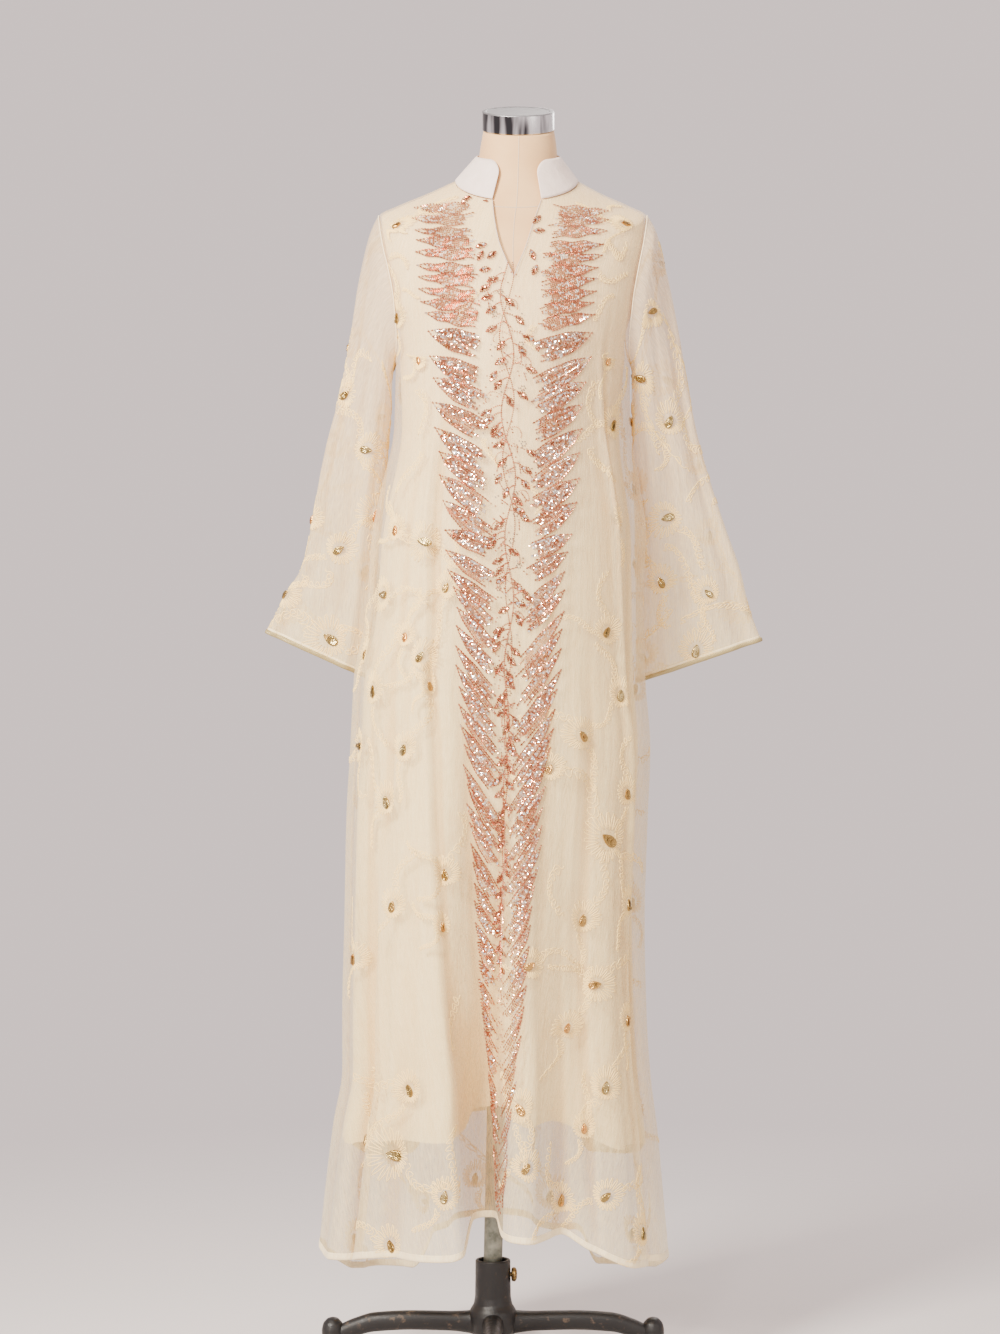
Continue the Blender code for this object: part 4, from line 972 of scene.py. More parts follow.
def sleeve_crease(turn, down):
    """Soft creases down a sleeve: bells round it that drift, fade in and stay under the hem."""
    total = np.zeros(np.broadcast(turn, down).shape)
    for number, (top, hem, width, depth, start, end) in enumerate(zip(*SLEEVE_CREASES.values())):
        wander = 3.0 * np.sin(6.0 * down + 1.7 * number)
        away = degrees_from(turn, top + (hem - top) * down + wander)
        fade = smooth_step((down - start) / 0.25) * smooth_step((end - down) / 0.10)
        total = total + depth * fade * np.exp(-((away / width) ** 2))
    ripple = np.sin(23 * turn + 3 * np.sin(5 * down)) + 0.7 * np.sin(41 * turn + 4 * np.sin(7 * down))
    return total + 0.0002 * ripple * smooth_step(down / 0.15)


def sleeve_surface(sleeve, side):
    """The creased sleeve as a grid, and the painted shade of its hollows: 1 where a crease is deepest.
    """
    plain = between_rings(sleeve_rings(sleeve, side, SLEEVE_COLUMNS), SLEEVE_STEPS)
    turn = np.linspace(0, 2 * math.pi, SLEEVE_COLUMNS + 1)[None]
    turn = turn[:, ::-1] if side > 0 else turn
    down = np.linspace(0, 1, len(plain))[:, None]
    push = sleeve_crease(turn, down)
    beside = math.radians(6.0)
    deep = (sleeve_crease(turn - beside, down) + sleeve_crease(turn + beside, down)) / 2 - push
    columns = np.arange(SLEEVE_COLUMNS + 1, dtype=float)[None] + 0 * down
    rows = np.arange(len(plain), dtype=float)[:, None] + 0 * turn
    points, _ = skin(on_grid(plain, True), columns, rows, push + CHIFFON_LIFT, GRID_STEPS)
    points[:, -1] = points[:, 0]
    return points, np.clip(deep / 0.0030, -1.0, 1.0)


sleeve_chiffon = crinkled("sheer_sleeve_chiffon", (0.36, 0.66))
sleeves = {}
for side, word, sleeve in ((-1, "right", SLEEVE_RIGHT), (1, "left", SLEEVE_LEFT)):
    points, deep = sleeve_surface(sleeve, side)
    # The sleeve's hollow values are painted shade in its creases.
    looks = (sleeve_chiffon, "chiffon", ("sleeve_" + word,), {"hollow": deep.ravel()})
    tube = cloth_piece("chiffon_sleeve_" + word, points, *looks)
    sleeves[word] = {"piece": tube, "points": points, "surface": on_grid(points, True), "on": []}


# Sleeve hems and gold edging
# Each sleeve's hem is turned up like the body's, and a narrow olive gold edging is sewn round it.
# The edging is a twill strip folded over the cloth's edge.

TRIM_SECTION = (
    (0.0060, 0.0017), (0.0056, 0.0026), (0.0030, 0.0030), (0.0004, 0.0026), (-0.0002, 0.0019),
    (0.0004, 0.0014), (0.0056, 0.0013), (0.0060, 0.0017),
)
edging, tree = new_material("olive_gold_edging", roughness=0.45, metallic=0.35)
on_cloth = node(tree, "ShaderNodeUVMap")
slanted = node(tree, "ShaderNodeMapping", Vector=on_cloth, Scale=(260.0, 260.0, 1.0))
diagonal = {"bands_direction": "DIAGONAL"}
twill = node(tree, "ShaderNodeTexWave", diagonal, Vector=slanted, Scale=1.0, Distortion=1.5)
olive = mixed(tree, twill, (0.30, 0.22, 0.08), (0.56, 0.45, 0.22))
into(tree, Base_Color=olive, Normal=bump(tree, twill, 0.0005, 0.7))
for word, sleeve in sleeves.items():
    points = sleeve["points"]
    row_step = np.linalg.norm(points[-1] - points[-2], axis=1)
    columns = np.arange(SLEEVE_COLUMNS + 1, dtype=float)
    for name, section, *looks in (
        ("hem_sleeve_" + word, HEM_SECTION, hem_cloth, "chiffon"),
        ("edging_sleeve_" + word, TRIM_SECTION, edging, "trim", ("cuff_trim_" + word,)),
    ):
        heights, offsets = np.array(section).T[:, :, None]
        rows = len(points) - 1 - np.maximum(heights, 0.0) / row_step
        lift = offsets - CHIFFON_LIFT + 0 * rows
        band, _ = skin(sleeve["surface"], columns + 0 * rows, rows, lift, GRID_STEPS)
        band[:, -1] = band[:, 0]
        sleeve["on"].append(cloth_piece(name, band, *looks))


# Stand collar
# Two layers of plain whitish cloth, turned out and pressed, with rounded front corners. It is
# sewn to the neckline all round and stands against the neck.

COLLAR_WALL = 0.0016
COLLAR_CLEARANCE = 0.0022
COLLAR_TOP = 1.6440
COLLAR_CORNER = 20.0
COLLAR_END_LIFT = 0.62
COLLAR_COLUMNS = 200
COLLAR_ROWS = 14


def collar_base():
    """The collar's inner face: straight lines from the neckline to a ring round the neck, cut
    down to a quarter circle at each front end."""
    end = math.asin(SLIT_HALF_WIDTH / half_width(NECK_LEVEL))
    swing = np.cos(np.linspace(0, math.pi, COLLAR_COLUMNS + 1))
    angle = end + (2 * math.pi - 2 * end) * (1 - swing) / 2
    seam, panel_out = skin(body_point, angle, np.full_like(angle, NECK_LEVEL))
    neck = ring_point(NECK, np.full_like(angle, COLLAR_TOP), angle)
    out = neck - np.array([axis_x(COLLAR_TOP), 0.0, 0.0])
    out[:, 2] = 0
    top = neck + unit(out) * COLLAR_CLEARANCE
    rise = unit(top - seam)
    over_rim = CLOTH_WALL * np.maximum(np.sum(panel_out * rise, axis=-1), 0.0) + 4 * SEAM_GAP
    seam = seam + rise * over_rim[:, None]
    from_end = np.degrees(np.minimum(angle - end, 2 * math.pi - end - angle))
    corner = np.clip(1 - from_end / COLLAR_CORNER, 0.0, 1.0)
    height = 1 - (1 - COLLAR_END_LIFT) * (1 - np.sqrt(1 - corner**2))
    share = np.linspace(1, 0, COLLAR_ROWS + 1)[:, None] * height
    return seam + (top - seam) * share[..., None]


collar_grid = collar_base()
columns = np.arange(collar_grid.shape[1], dtype=float)[None]
rows = np.arange(COLLAR_ROWS + 1, dtype=float)[:, None]
pinch = smooth_step(np.minimum(columns, columns[:, ::-1]) / 5.0)
from_top = smooth_step((rows + 0.4) / 1.6)
full = COLLAR_WALL * (0.15 + 0.85 * pinch * from_top) / 2
seats_on = (on_grid(collar_grid), columns + 0 * rows, rows + 0 * columns)
outer, _ = skin(*seats_on, COLLAR_WALL / 2 + full, GRID_STEPS)
inner, _ = skin(*seats_on, COLLAR_WALL / 2 - full, GRID_STEPS)
points, faces = stack([np.concatenate([inner[::-1], outer])])
width = collar_grid.shape[1]
last_row = (2 * COLLAR_ROWS + 1) * width
inside = np.arange(COLLAR_ROWS, -1, -1) * width
outside = np.arange(COLLAR_ROWS + 1, 2 * COLLAR_ROWS + 2) * width
strip = np.stack([inside[:-1], inside[1:], outside[1:], outside[:-1]], -1)
under = np.arange(width)
bottom = np.stack([last_row + under[:-1], under[:-1], under[1:], last_row + under[1:]], -1)
closed = np.concatenate([faces, strip, (strip + width - 1)[:, ::-1], bottom])
collar_uv = cloth_uv(np.concatenate([outer[::-1], outer]))

pressed_cloth = dict(roughness=0.8, Sheen_Weight=0.2, Sheen_Roughness=0.5)
collar_cloth, tree = new_material("whitish_collar_cloth", **pressed_cloth)
here = object_point(tree)
pressed = noise(tree, here, 60.0, 3.0, Distortion=0.6)
plain = noise(tree, here, (1500.0, 1500.0, 1500.0))
both = worked(tree, "MULTIPLY_ADD", pressed, 5.0, plain)
coat(tree, pressed, ((0.80, 0.64, 0.555), (0.87, 0.72, 0.635)), (0.0005, 0.6), raised=both)
looks = (collar_cloth, "collar_cloth", ("collar",), collar_uv)
stand_collar = place("stand_collar", (points, closed), *looks)


# Rolled edges and seams
# The V slit's edges are rolled and overcast in a tan thread, and a narrow welt of chiffon covers
# each armhole seam. Cords follow the cloth's own edges.


def cords(paths, outs, radius, sides=8):
    """Round cords along paths, an array of cords by points by three. outs are directions off the
    cloth, and each ring lies square to its path."""
    along = unit(np.gradient(paths, axis=1))
    beside = unit(np.cross(outs, along))
    above = np.cross(along, beside)
    turn = np.linspace(0, 2 * math.pi, sides + 1)
    ring = beside[:, :, None] * np.cos(turn)[:, None] + above[:, :, None] * np.sin(turn)[:, None]
    return stack(list((paths[:, :, None] + ring * radius)[:, :, ::-1]))


rolled, tree = new_material("tan_rolled_edge", roughness=0.7)
wraps = noise(tree, object_point(tree), (700.0, 700.0, 1500.0))
coat(tree, wraps, ((0.50, 0.33, 0.22), (0.80, 0.66, 0.52)), (0.0005, 0.7))
levels = np.linspace(NECK_LEVEL, SLIT_LEVEL, 60)
edges = [skin(body_point, side * slit_angle(levels), levels, CHIFFON_LIFT) for side in (-1, 1)]
paths, outs = np.moveaxis(np.array(edges), 1, 0)
slit_edging = place("slit_rolled_edge", cords(paths, outs, 0.0008), rolled, "chiffon")

welt_cloth, tree = new_material("chiffon_welt", roughness=0.75, Sheen_Weight=0.3)
puckers = noise(tree, object_point(tree), 420.0, 3.0)
coat(tree, puckers, ((0.84, 0.66, 0.40), (0.92, 0.76, 0.50)), (0.0007, 0.7))
for side, word in ((-1, "right"), (1, "left")):
    points = sleeves[word]["points"]
    ring = points[0] * 0.5 + points[1] * 0.5 - np.array([side * 0.0004, 0.0, 0.0])
    welt = cords(ring[None], unit(ring - points[1].mean(0))[None], 0.0009)
    sleeves[word]["on"].append(place("armhole_welt_" + word, welt, welt_cloth, "chiffon"))

seam_thread, tree = new_material("form_seam", roughness=0.85)
stitches = noise(tree, object_point(tree), (900.0, 900.0, 500.0))
into(tree, Base_Color=mixed(tree, stitches, (0.50, 0.36, 0.22), (0.76, 0.62, 0.46)))
form_surface = on_grid(torso[1:-3])
down = np.linspace(0.2, len(torso[1:-3]) - 1.5, 240)
around = np.linspace(0.5, FORM_SIDES - 0.5, 240)
neck_foot = 6 * 4.4
seams = []
for columns, rows, radius in (
    (FORM_SIDES / 2 + 0 * down, down, 0.0006),
    (0.001 + 0 * down, down, 0.0006),
    (around, neck_foot + 0 * around, 0.0007),
):
    path, out = skin(form_surface, columns, rows, 0.0, GRID_STEPS)
    seams.append(cords(path[None], out[None], radius))
place("form_seams", joined(seams), seam_thread, "form_cover")


# Sewing on the cloth
# What is sewn on lies on the creased cloth itself: first its place is found on a fine grid of the
# front or sleeve, then each bead, sequin or thread is set on the cloth there.

SEWING_STEPS = (0.7, 0.7)

def whole_cloth(centre, count):
    """A body panel's creased cloth as a grid, without its slit."""
    turns = panel_columns(body_levels, centre, count, SEAM_GAP)
    levels = body_levels[:, None] + 0 * turns
    return skin(body_point, turns, levels, chiffon_offset(turns, levels))[0]


front_grid = whole_cloth(0.0, FRONT_COLUMNS)
back_grid = whole_cloth(math.pi, BACK_COLUMNS)
front_cloth, back_cloth = on_grid(front_grid), on_grid(back_grid)
chance = np.random.default_rng(41)


def first_guess(grid, x, z):
    """Column and row of the grid's nearest front point to each x and z, every fourth tried."""
    rows, columns = np.mgrid[0 : grid.shape[0] : 4, 0 : grid.shape[1] : 4]
    spots = grid[rows, columns]
    ahead = spots[..., 1] < spots[..., 1].mean(axis=1, keepdims=True) + 0.02
    spots, rows, columns = spots[ahead], rows[ahead], columns[ahead]
    away = (spots[:, 0] - x[:, None]) ** 2 + (spots[:, 2] - z[:, None]) ** 2
    best = np.argmin(away, axis=1)
    return columns[best].astype(float), rows[best].astype(float)


def seats(surface, x, z, u, v):
    """Place on a surface straight behind each x and z, by eight Newton steps from a guess."""
    for _ in range(8):
        here = surface(u, v)
        by_u = surface(u + 0.5, v) - surface(u - 0.5, v)
        by_v = surface(u, v + 0.5) - surface(u, v - 0.5)
        dx, dz = x - here[..., 0], z - here[..., 2]
        area = by_u[..., 0] * by_v[..., 2] - by_u[..., 2] * by_v[..., 0]
        area = np.where(np.abs(area) < 1e-9, -1e-9, area)
        u = u + np.clip((dx * by_v[..., 2] - dz * by_v[..., 0]) / area, -5, 5)
        v = v + np.clip((dz * by_u[..., 0] - dx * by_u[..., 2]) / area, -5, 5)
    return u, v


def front_seats(x, z):
    """Place on the front panel's grid straight behind each x and z."""
    turn = np.arcsin(np.clip((x - middle_x(z)) / half_width(z), -0.98, 0.98))
    u = (turn / math.pi + 0.5) * FRONT_COLUMNS
    levels = front_grid[:, FRONT_COLUMNS // 2, 2]
    v = np.interp(-z, -levels, np.arange(len(front_grid), dtype=float))
    u, v = seats(front_cloth, x, z, u, v)
    return np.clip(u, 2, FRONT_COLUMNS - 2), np.clip(v, 2, len(front_grid) - 3)


def lay_on(surface, u, v, across, up):
    """Place on a surface at distances across and up the cloth from a seat, in metres, by the
    lengths of the grid's own steps there."""
    by_u = (surface(u + 1, v) - surface(u - 1, v)) / 2
    by_v = (surface(u, v + 1) - surface(u, v - 1)) / 2
    length = np.linalg.norm(by_u, axis=-1)
    level = by_u / length[..., None]
    slant = np.sum(by_v * level, axis=-1)
    height = np.linalg.norm(by_v - level * slant[..., None], axis=-1)
    down = -up / height
    return u + (across - down * slant) / length, v + down


def on_cloth_frame(surface, u, v, lift, heading):
    """Point, two directions in the cloth and one off it. heading turns the first from the cloth's
    own across direction, towards up."""
    point, out = skin(surface, u, v, lift, SEWING_STEPS)
    across = surface(u + SEWING_STEPS[0], v) - surface(u - SEWING_STEPS[0], v)
    across = unit(across - out * np.sum(across * out, axis=-1, keepdims=True))
    up = np.cross(out, across)
    c, s = np.cos(heading)[..., None], np.sin(heading)[..., None]
    return point, across * c + up * s, up * c - across * s, out


def tilted_frame(frame_of, most):
    """Tips each piece by a random angle of its own about a random direction in the cloth."""
    point, across, up, out = frame_of
    tip = np.radians(chance.uniform(-most, most, (2, len(point))))[..., None]
    out = unit(out + across * np.tan(tip[0]) + up * np.tan(tip[1]))
    across = unit(across - out * np.sum(across * out, axis=1, keepdims=True))
    return point, across, np.cross(out, across), out


def repeat(shape, faces, frame_of, size):
    """One small shape set at every seat. The shape's x, y and z go along the seat's across, up and
    out directions, and size scales each copy's three ways."""
    point, across, up, out = (part[:, None] for part in frame_of)
    size = np.broadcast_to(np.asarray(size, float), (len(point), 3))[:, None, :]
    x, y, z = np.moveaxis((shape[None] * size)[..., None], -2, 0)
    every = faces[None] + (np.arange(len(point)) * len(shape))[:, None, None]
    return (point + x * across + y * up + z * out).reshape(-1, 3), every.reshape(-1, faces.shape[1])


def sequin_shape(sides=6):
    """A thin cupped disc of radius one: a ring and a sunk middle."""
    turn = np.linspace(0, 2 * math.pi, sides, endpoint=False)
    ring = np.stack([np.cos(turn), np.sin(turn), 0.22 + 0 * turn], -1)
    first = np.arange(sides)
    faces = np.stack([first, (first + 1) % sides, np.full(sides, sides)], -1)
    return np.concatenate([ring, [[0.0, 0.0, 0.0]]]), faces


def bead_shape():
    """An eight-faced bead of radius one."""
    shape = [[1, 0, 0], [0, 1, 0], [-1, 0, 0], [0, -1, 0], [0, 0, 1], [0, 0, -1]]
    first = np.arange(4)
    upper = np.stack([first, (first + 1) % 4, np.full(4, 4)], -1)
    lower = np.stack([(first + 1) % 4, first, np.full(4, 5)], -1)
    return np.array(shape, float), np.concatenate([upper, lower])


def sewn(name, material, batches):
    """Joins batches of repeated shapes into one flat-faced piece. Each batch is a shape, its
    seats' frames, the sizes and a tint for every copy."""
    shapes = [repeat(*shape, frame_of, size) for shape, frame_of, size, _ in batches]
    tints = [np.repeat(tint, len(shape[0])) for shape, _, _, tint in batches]
    values = {"tint": np.concatenate(tints)}
    piece = place(name, joined(shapes), material, values=values, welded=False)
    piece.data.shade_flat()
    return piece


def tinted(tree, stops):
    """A colour ramp over each copy's own tint. stops are places and colours."""
    own = node(tree, "ShaderNodeAttribute", {"attribute_name": "tint"}).node.outputs["Fac"]
    ramp = tree.nodes.new("ShaderNodeValToRGB")
    tree.links.new(own, ramp.inputs[0])
    while len(ramp.color_ramp.elements) < len(stops):
        ramp.color_ramp.elements.new(0.5)
    for element, (at, colour) in zip(ramp.color_ramp.elements, stops):
        element.position = at
        element.color = (*colour, 1.0)
    return ramp.outputs[0]


# Leaf bands
# Two bands of slender leaves, one down each side of the front, that meet near the hem. Each leaf is
# rows of rose copper bugles and seed beads round rows of sequins, sewn down one by one.

BANDS = table(
    "level left_outer left_inner right_inner right_outer tilt",
    (1.5620, -0.1350, -0.0610, 0.0590, 0.1250, 3.0),
    (1.5190, -0.1310, -0.0575, 0.0490, 0.1200, 6.0),
    (1.4690, -0.1265, -0.0530, 0.0390, 0.1090, 9.0),
    (1.4160, -0.1180, -0.0515, 0.0365, 0.1045, 14.0),
    (1.3780, -0.1100, -0.0505, 0.0350, 0.1010, 26.0),
    (1.3240, -0.1070, -0.0465, 0.0300, 0.0930, 32.0),
    (1.2450, -0.1005, -0.0425, 0.0283, 0.0865, 36.0),
    (1.1700, -0.0940, -0.0410, 0.0283, 0.0795, 37.0),
    (1.1300, -0.0900, -0.0380, 0.0265, 0.0755, 22.0),
    (1.0870, -0.0860, -0.0345, 0.0230, 0.0680, 40.0),
    (1.0250, -0.0760, -0.0310, 0.0180, 0.0625, 49.0),
    (0.9200, -0.0740, -0.0295, 0.0095, 0.0570, 55.0),
    (0.8240, -0.0650, -0.0265, 0.0040, 0.0420, 58.0),
    (0.7230, -0.0584, -0.0245, -0.0020, 0.0325, 60.0),
    (0.5900, -0.0480, -0.0265, -0.0060, 0.0180, 62.0),
    (0.5060, -0.0440, -0.0305, -0.0090, 0.0100, 64.0),
    (0.4090, -0.0335, -0.0250, -0.0130, 0.0000, 70.0),
    (0.3200, -0.0270, -0.0205, -0.0160, -0.0095, 74.0),
    (0.2480, -0.0216, -0.0185, -0.0170, -0.0150, 78.0),
)
LEAF_RUNS = table(
    "first last count sequin_share wave",
    (1.5680, 1.4200, 10, 0.06, 0.0013), (1.3960, 1.1700, 8, 0.72, 0.0004),
    (1.1300, 0.5120, 25, 0.60, 0.0003), (0.4930, 0.2600, 13, 0.50, 0.0001),
)
BEAD, BUGLE, SEQUIN = 0, 1, 2
PITCHES = (0.0026, 0.0042, 0.0028)
STRAND_PITCH = 0.0024
BAND_END = 0.250
COPPER_STOPS = (
    (0.0, (0.30, 0.085, 0.045)), (0.28, (0.66, 0.27, 0.145)), (0.52, (0.92, 0.57, 0.35)),
    (0.74, (0.38, 0.33, 0.26)), (1.0, (1.0, 0.94, 0.85)),
)
SEQUIN_TINTS = (0.20, 0.42, 0.62, 1.0)
SEQUIN_SHARES = (0.26, 0.34, 0.17, 0.23)


def leaf_spine(word, level):
    """A leaf's tip on the band's outer edge, the way down to its root on the inner edge, its
    length and its tilt. The root is found in four steps, each from the last one's level."""
    tip_x = read(BANDS, word + "_outer", level) + chance.uniform(-0.0022, 0.0022)
    tilt = math.radians(read(BANDS, "tilt", level) + chance.uniform(-3, 3))
    root_x = tip_x
    for _ in range(4):
        root_level = level - abs(root_x - tip_x) * math.tan(tilt)
        root_x = read(BANDS, word + "_inner", max(root_level, BAND_END))
    spine = np.array([root_x - tip_x, root_level - level])
    length = np.linalg.norm(spine)
    return np.array([tip_x, level]), spine / length, max(length, 0.012), tilt


def leaf_strands(word, sign):
    """Rows of beads in every leaf of one band, as x, z, heading, kind and tint. A leaf's strands
    spread from its tip to its full width before its root, bow a little, wave, and end unevenly.
    The full width is the room to the next leaf. The yoke's leaves have rows of bugles and seed
    beads by turns, and the others mostly sequins."""
    found = []
    for first, last, count, sequin_share, wave in zip(*LEAF_RUNS.values()):
        in_yoke = sequin_share < 0.1
        room = (first - last) / (count - 1)
        levels = np.linspace(first, last, int(count)) + chance.uniform(-0.0018, 0.0018, int(count))
        for level in levels - (0.004 if word == "right" else 0.0):
            tip, spine, length, tilt = leaf_spine(word, level)
            half_wide = 0.49 * room * math.cos(tilt)
            across = np.array([-spine[1], spine[0]]) * sign
            bow = chance.uniform(0.02, 0.09) * length
            phase = chance.uniform(0, 6.3)
            strands = max(3, round(2 * half_wide / STRAND_PITCH) + 1)
            for row in np.linspace(-1, 1, strands):
                edge = abs(row) > 0.9
                start = 0.0 if edge else 0.08 + 0.13 * (1 - abs(row)) + chance.uniform(0, 0.04)
                end = 1.0 + chance.uniform(-0.14, 0.07)
                is_sequin = not edge and chance.random() < sequin_share
                if in_yoke:
                    kind = BUGLE if edge or round(row * (strands - 1) / 2 + strands) % 2 else BEAD
                elif is_sequin:
                    kind = SEQUIN
                else:
                    kind = BUGLE if edge or chance.random() < 0.5 else BEAD
                s = np.arange(start, end, PITCHES[kind] / length)
                open_out = np.where(s < 0.7, 1 - (1 - s / 0.7) ** 2, 1.0)
                ripple = wave * np.sin(13 * s + phase + 1.2 * row) * np.minimum(1, 4 * s)
                sideways = row * half_wide * open_out + bow * s * (1 - s) + ripple
                spots = tip + s[:, None] * length * spine + sideways[:, None] * across
                step = np.gradient(spots, axis=0) if len(s) > 1 else spine[None]
                heading = np.arctan2(step[:, 1], step[:, 0])
                base = 0.18 if in_yoke or kind == BUGLE else 0.50
                if edge or in_yoke and kind == BUGLE:
                    base = 0.14
                tint = base + chance.uniform(-0.12, 0.14, len(s))
                tint = np.where(chance.random(len(s)) < (0.28 if kind == BEAD else 0.03), 1.0, tint)
                if kind == SEQUIN:
                    tint = chance.choice(SEQUIN_TINTS, len(s), p=SEQUIN_SHARES)
                found.append(np.stack([*spots.T, heading, 0 * s + kind, tint], 1))
    return np.concatenate(found)


foil, tree = new_material("rose_sequin_foil", roughness=0.15, metallic=1.0)
into(tree, Base_Color=tinted(tree, COPPER_STOPS))
glass, tree = new_material("copper_lined_glass", roughness=0.20, metallic=0.8, Coat_Weight=0.2)
into(tree, Base_Color=tinted(tree, COPPER_STOPS))
x, z, heading, kind, tint = np.concatenate([leaf_strands("left", -1), leaf_strands("right", 1)]).T
u, v = front_seats(x, z)
finer = np.interp(z, (0.40, 1.15), (0.88, 1.0))[:, None]


def of_kind(wanted, shape, lift, size, most_tilt):
    """All copies of one kind in the bands, a little finer towards the hem, each one tipped."""
    chosen = kind == wanted
    frame_of = on_cloth_frame(front_cloth, u[chosen], v[chosen], lift, heading[chosen])
    if most_tilt:
        frame_of = tilted_frame(frame_of, most_tilt)
    return shape, frame_of, finer[chosen] * size, tint[chosen]


bands = [
    of_kind(BEAD, bead_shape(), 0.0012, (0.0015, 0.0014, 0.0011), 0.0),
    of_kind(BUGLE, bead_shape(), 0.0012, (0.0029, 0.0013, 0.0011), 0.0),
]
band_beads = sewn("leaf_band_beads", glass, bands)
bands = [of_kind(SEQUIN, sequin_shape(), 0.0014, (0.0018, 0.0018, 0.0013), 30.0)]
band_sequins = sewn("leaf_band_sequins", foil, bands)


# Centre sprig
# A thin beaded vine wanders down between the bands from the foot of the V slit, with little leaves
# of copper beads and sequins to either side, flowers of five or six beads, and curled tendrils.

SPRIG = table(
    "level middle half_width",
    (1.4900, -0.0080, 0.0100), (1.4400, -0.0110, 0.0260), (1.3600, -0.0100, 0.0300),
    (1.2000, -0.0070, 0.0270), (1.1000, -0.0060, 0.0220), (1.0000, -0.0080, 0.0180),
    (0.9000, -0.0100, 0.0130), (0.8000, -0.0120, 0.0090), (0.6500, -0.0160, 0.0060),
    (0.5400, -0.0185, 0.0040),
)
SLIT_LEAVES = table(
    "x z heading",
    (-0.0440, 1.5090, 20.0), (-0.0450, 1.4950, 60.0), (-0.0300, 1.4960, 40.0),
    (-0.0390, 1.4760, 8.0), (0.0330, 1.5300, 5.0), (0.0300, 1.5460, 50.0),
    (0.0240, 1.4960, 110.0), (0.0270, 1.4750, 65.0), (-0.0660, 1.5760, 55.0),
    (-0.0600, 1.5810, 40.0),
)
LEAVES = 84
LEAF_LENGTH = 0.0150
LEAF_WIDTH = 0.0080
BEAD_FLOWERS = 26
PETAL_REACH = 0.0031
CURLS = 17
STREWN = 420
TWIGS = 74
STEM_RISE = 0.010


def almond(count):
    """Points round a leaf, from one pointed end round to it again."""
    t = np.linspace(0, 2 * math.pi, count, endpoint=False)
    return -np.cos(t) * LEAF_LENGTH / 2, (0.35 * np.sin(t) ** 3 + 0.15 * np.sin(t)) * LEAF_WIDTH


def vine_x(level):
    """The vine wanders to each side of its middle line."""
    sway = 0.30 * read(SPRIG, "half_width", level)
    return read(SPRIG, "middle", level) + sway * np.sin(38.0 * level)


def near_vine(levels, most):
    """Random places beside the vine, up to most times the sprig's half width away."""
    return vine_x(levels) + read(SPRIG, "half_width", levels) * chance.uniform(-most, most, len(levels))


def turned_out(seat_x, seat_z, turn, a, b):
    """Points a and b beside a seat, turned with it, as x and z."""
    c, s = np.cos(turn)[:, None], np.sin(turn)[:, None]
    return (seat_x[:, None] + a * c - b * s), (seat_z[:, None] + a * s + b * c)


def copper_frames(px, pz, turn, lift):
    """Frames on the front for places given by x and z."""
    px, pz, turn = (np.ravel(np.broadcast_to(value, np.shape(px))) for value in (px, pz, turn))
    return on_cloth_frame(front_cloth, *front_seats(px, pz), lift, turn)


levels = np.linspace(1.4620, 0.5500, LEAVES) + chance.uniform(-0.003, 0.003, LEAVES)
sides = np.where(np.arange(LEAVES) % 2 == 0, -1, 1)
sides = sides * np.where(chance.random(LEAVES) < 0.2, -1, 1)
vine_leaf_x = vine_x(levels) + sides * (
    read(SPRIG, "half_width", levels) * chance.uniform(0.30, 1.0, LEAVES)
)
slant = np.radians(chance.uniform(15, 70, LEAVES)) * -sides + np.where(sides < 0, 0.0, math.pi)
leaf_x = np.concatenate([vine_leaf_x, SLIT_LEAVES["x"]])
leaf_z = np.concatenate([levels, SLIT_LEAVES["z"]])
leaf_turn = np.concatenate([slant, np.radians(SLIT_LEAVES["heading"])])
leaf_size = np.interp(levels, (0.55, 0.80), (0.6, 1.0))
leaf_size = np.concatenate([leaf_size, 0.95 + 0 * SLIT_LEAVES["x"]])[:, None]
edge_a, edge_b = almond(16)
edge = turned_out(leaf_x, leaf_z, leaf_turn, edge_a * leaf_size, edge_b * leaf_size)
core_a = np.array([-0.0040, -0.0014, 0.0014, 0.0040, 0.0]) * leaf_size
core_b = np.array([0.0, 0.0010, -0.0010, 0.0, 0.0]) * leaf_size
core = turned_out(leaf_x, leaf_z, leaf_turn, core_a, core_b)
core_tint = chance.choice([0.06, 0.28, 1.0], core[0].size, p=[0.52, 0.34, 0.14])

vine_levels = np.arange(1.4850, 0.5400, -0.0026)
second_x = 2 * read(SPRIG, "middle", vine_levels) - vine_x(vine_levels - 0.02)
along = np.linspace(0.0, 0.8, 7)
stem_from = vine_x(levels + STEM_RISE)[:, None]
stem_x = stem_from + (vine_leaf_x[:, None] - stem_from) * along
stem_z = (levels + STEM_RISE)[:, None] - STEM_RISE * along**2

levels = np.linspace(1.4450, 0.6200, BEAD_FLOWERS) + chance.uniform(-0.006, 0.006, BEAD_FLOWERS)
petal = np.linspace(0, 2 * math.pi, 6, endpoint=False)
petal_x = near_vine(levels, 0.95)[:, None] + PETAL_REACH * np.cos(petal)
petal_z = levels[:, None] + PETAL_REACH * np.sin(petal)

levels = np.linspace(1.4300, 0.7600, CURLS) + chance.uniform(-0.005, 0.005, CURLS)
sides = np.where(np.arange(CURLS) % 2 == 0, 1, -1)[:, None]
along = np.linspace(0.0, 1.0, 16)
curl_reach = 0.8 * read(SPRIG, "half_width", levels)[:, None]
curl_x = vine_x(levels)[:, None] + sides * curl_reach * np.sin(1.9 * along)
curl_z = levels[:, None] + 0.007 * np.sin(4.6 * along)

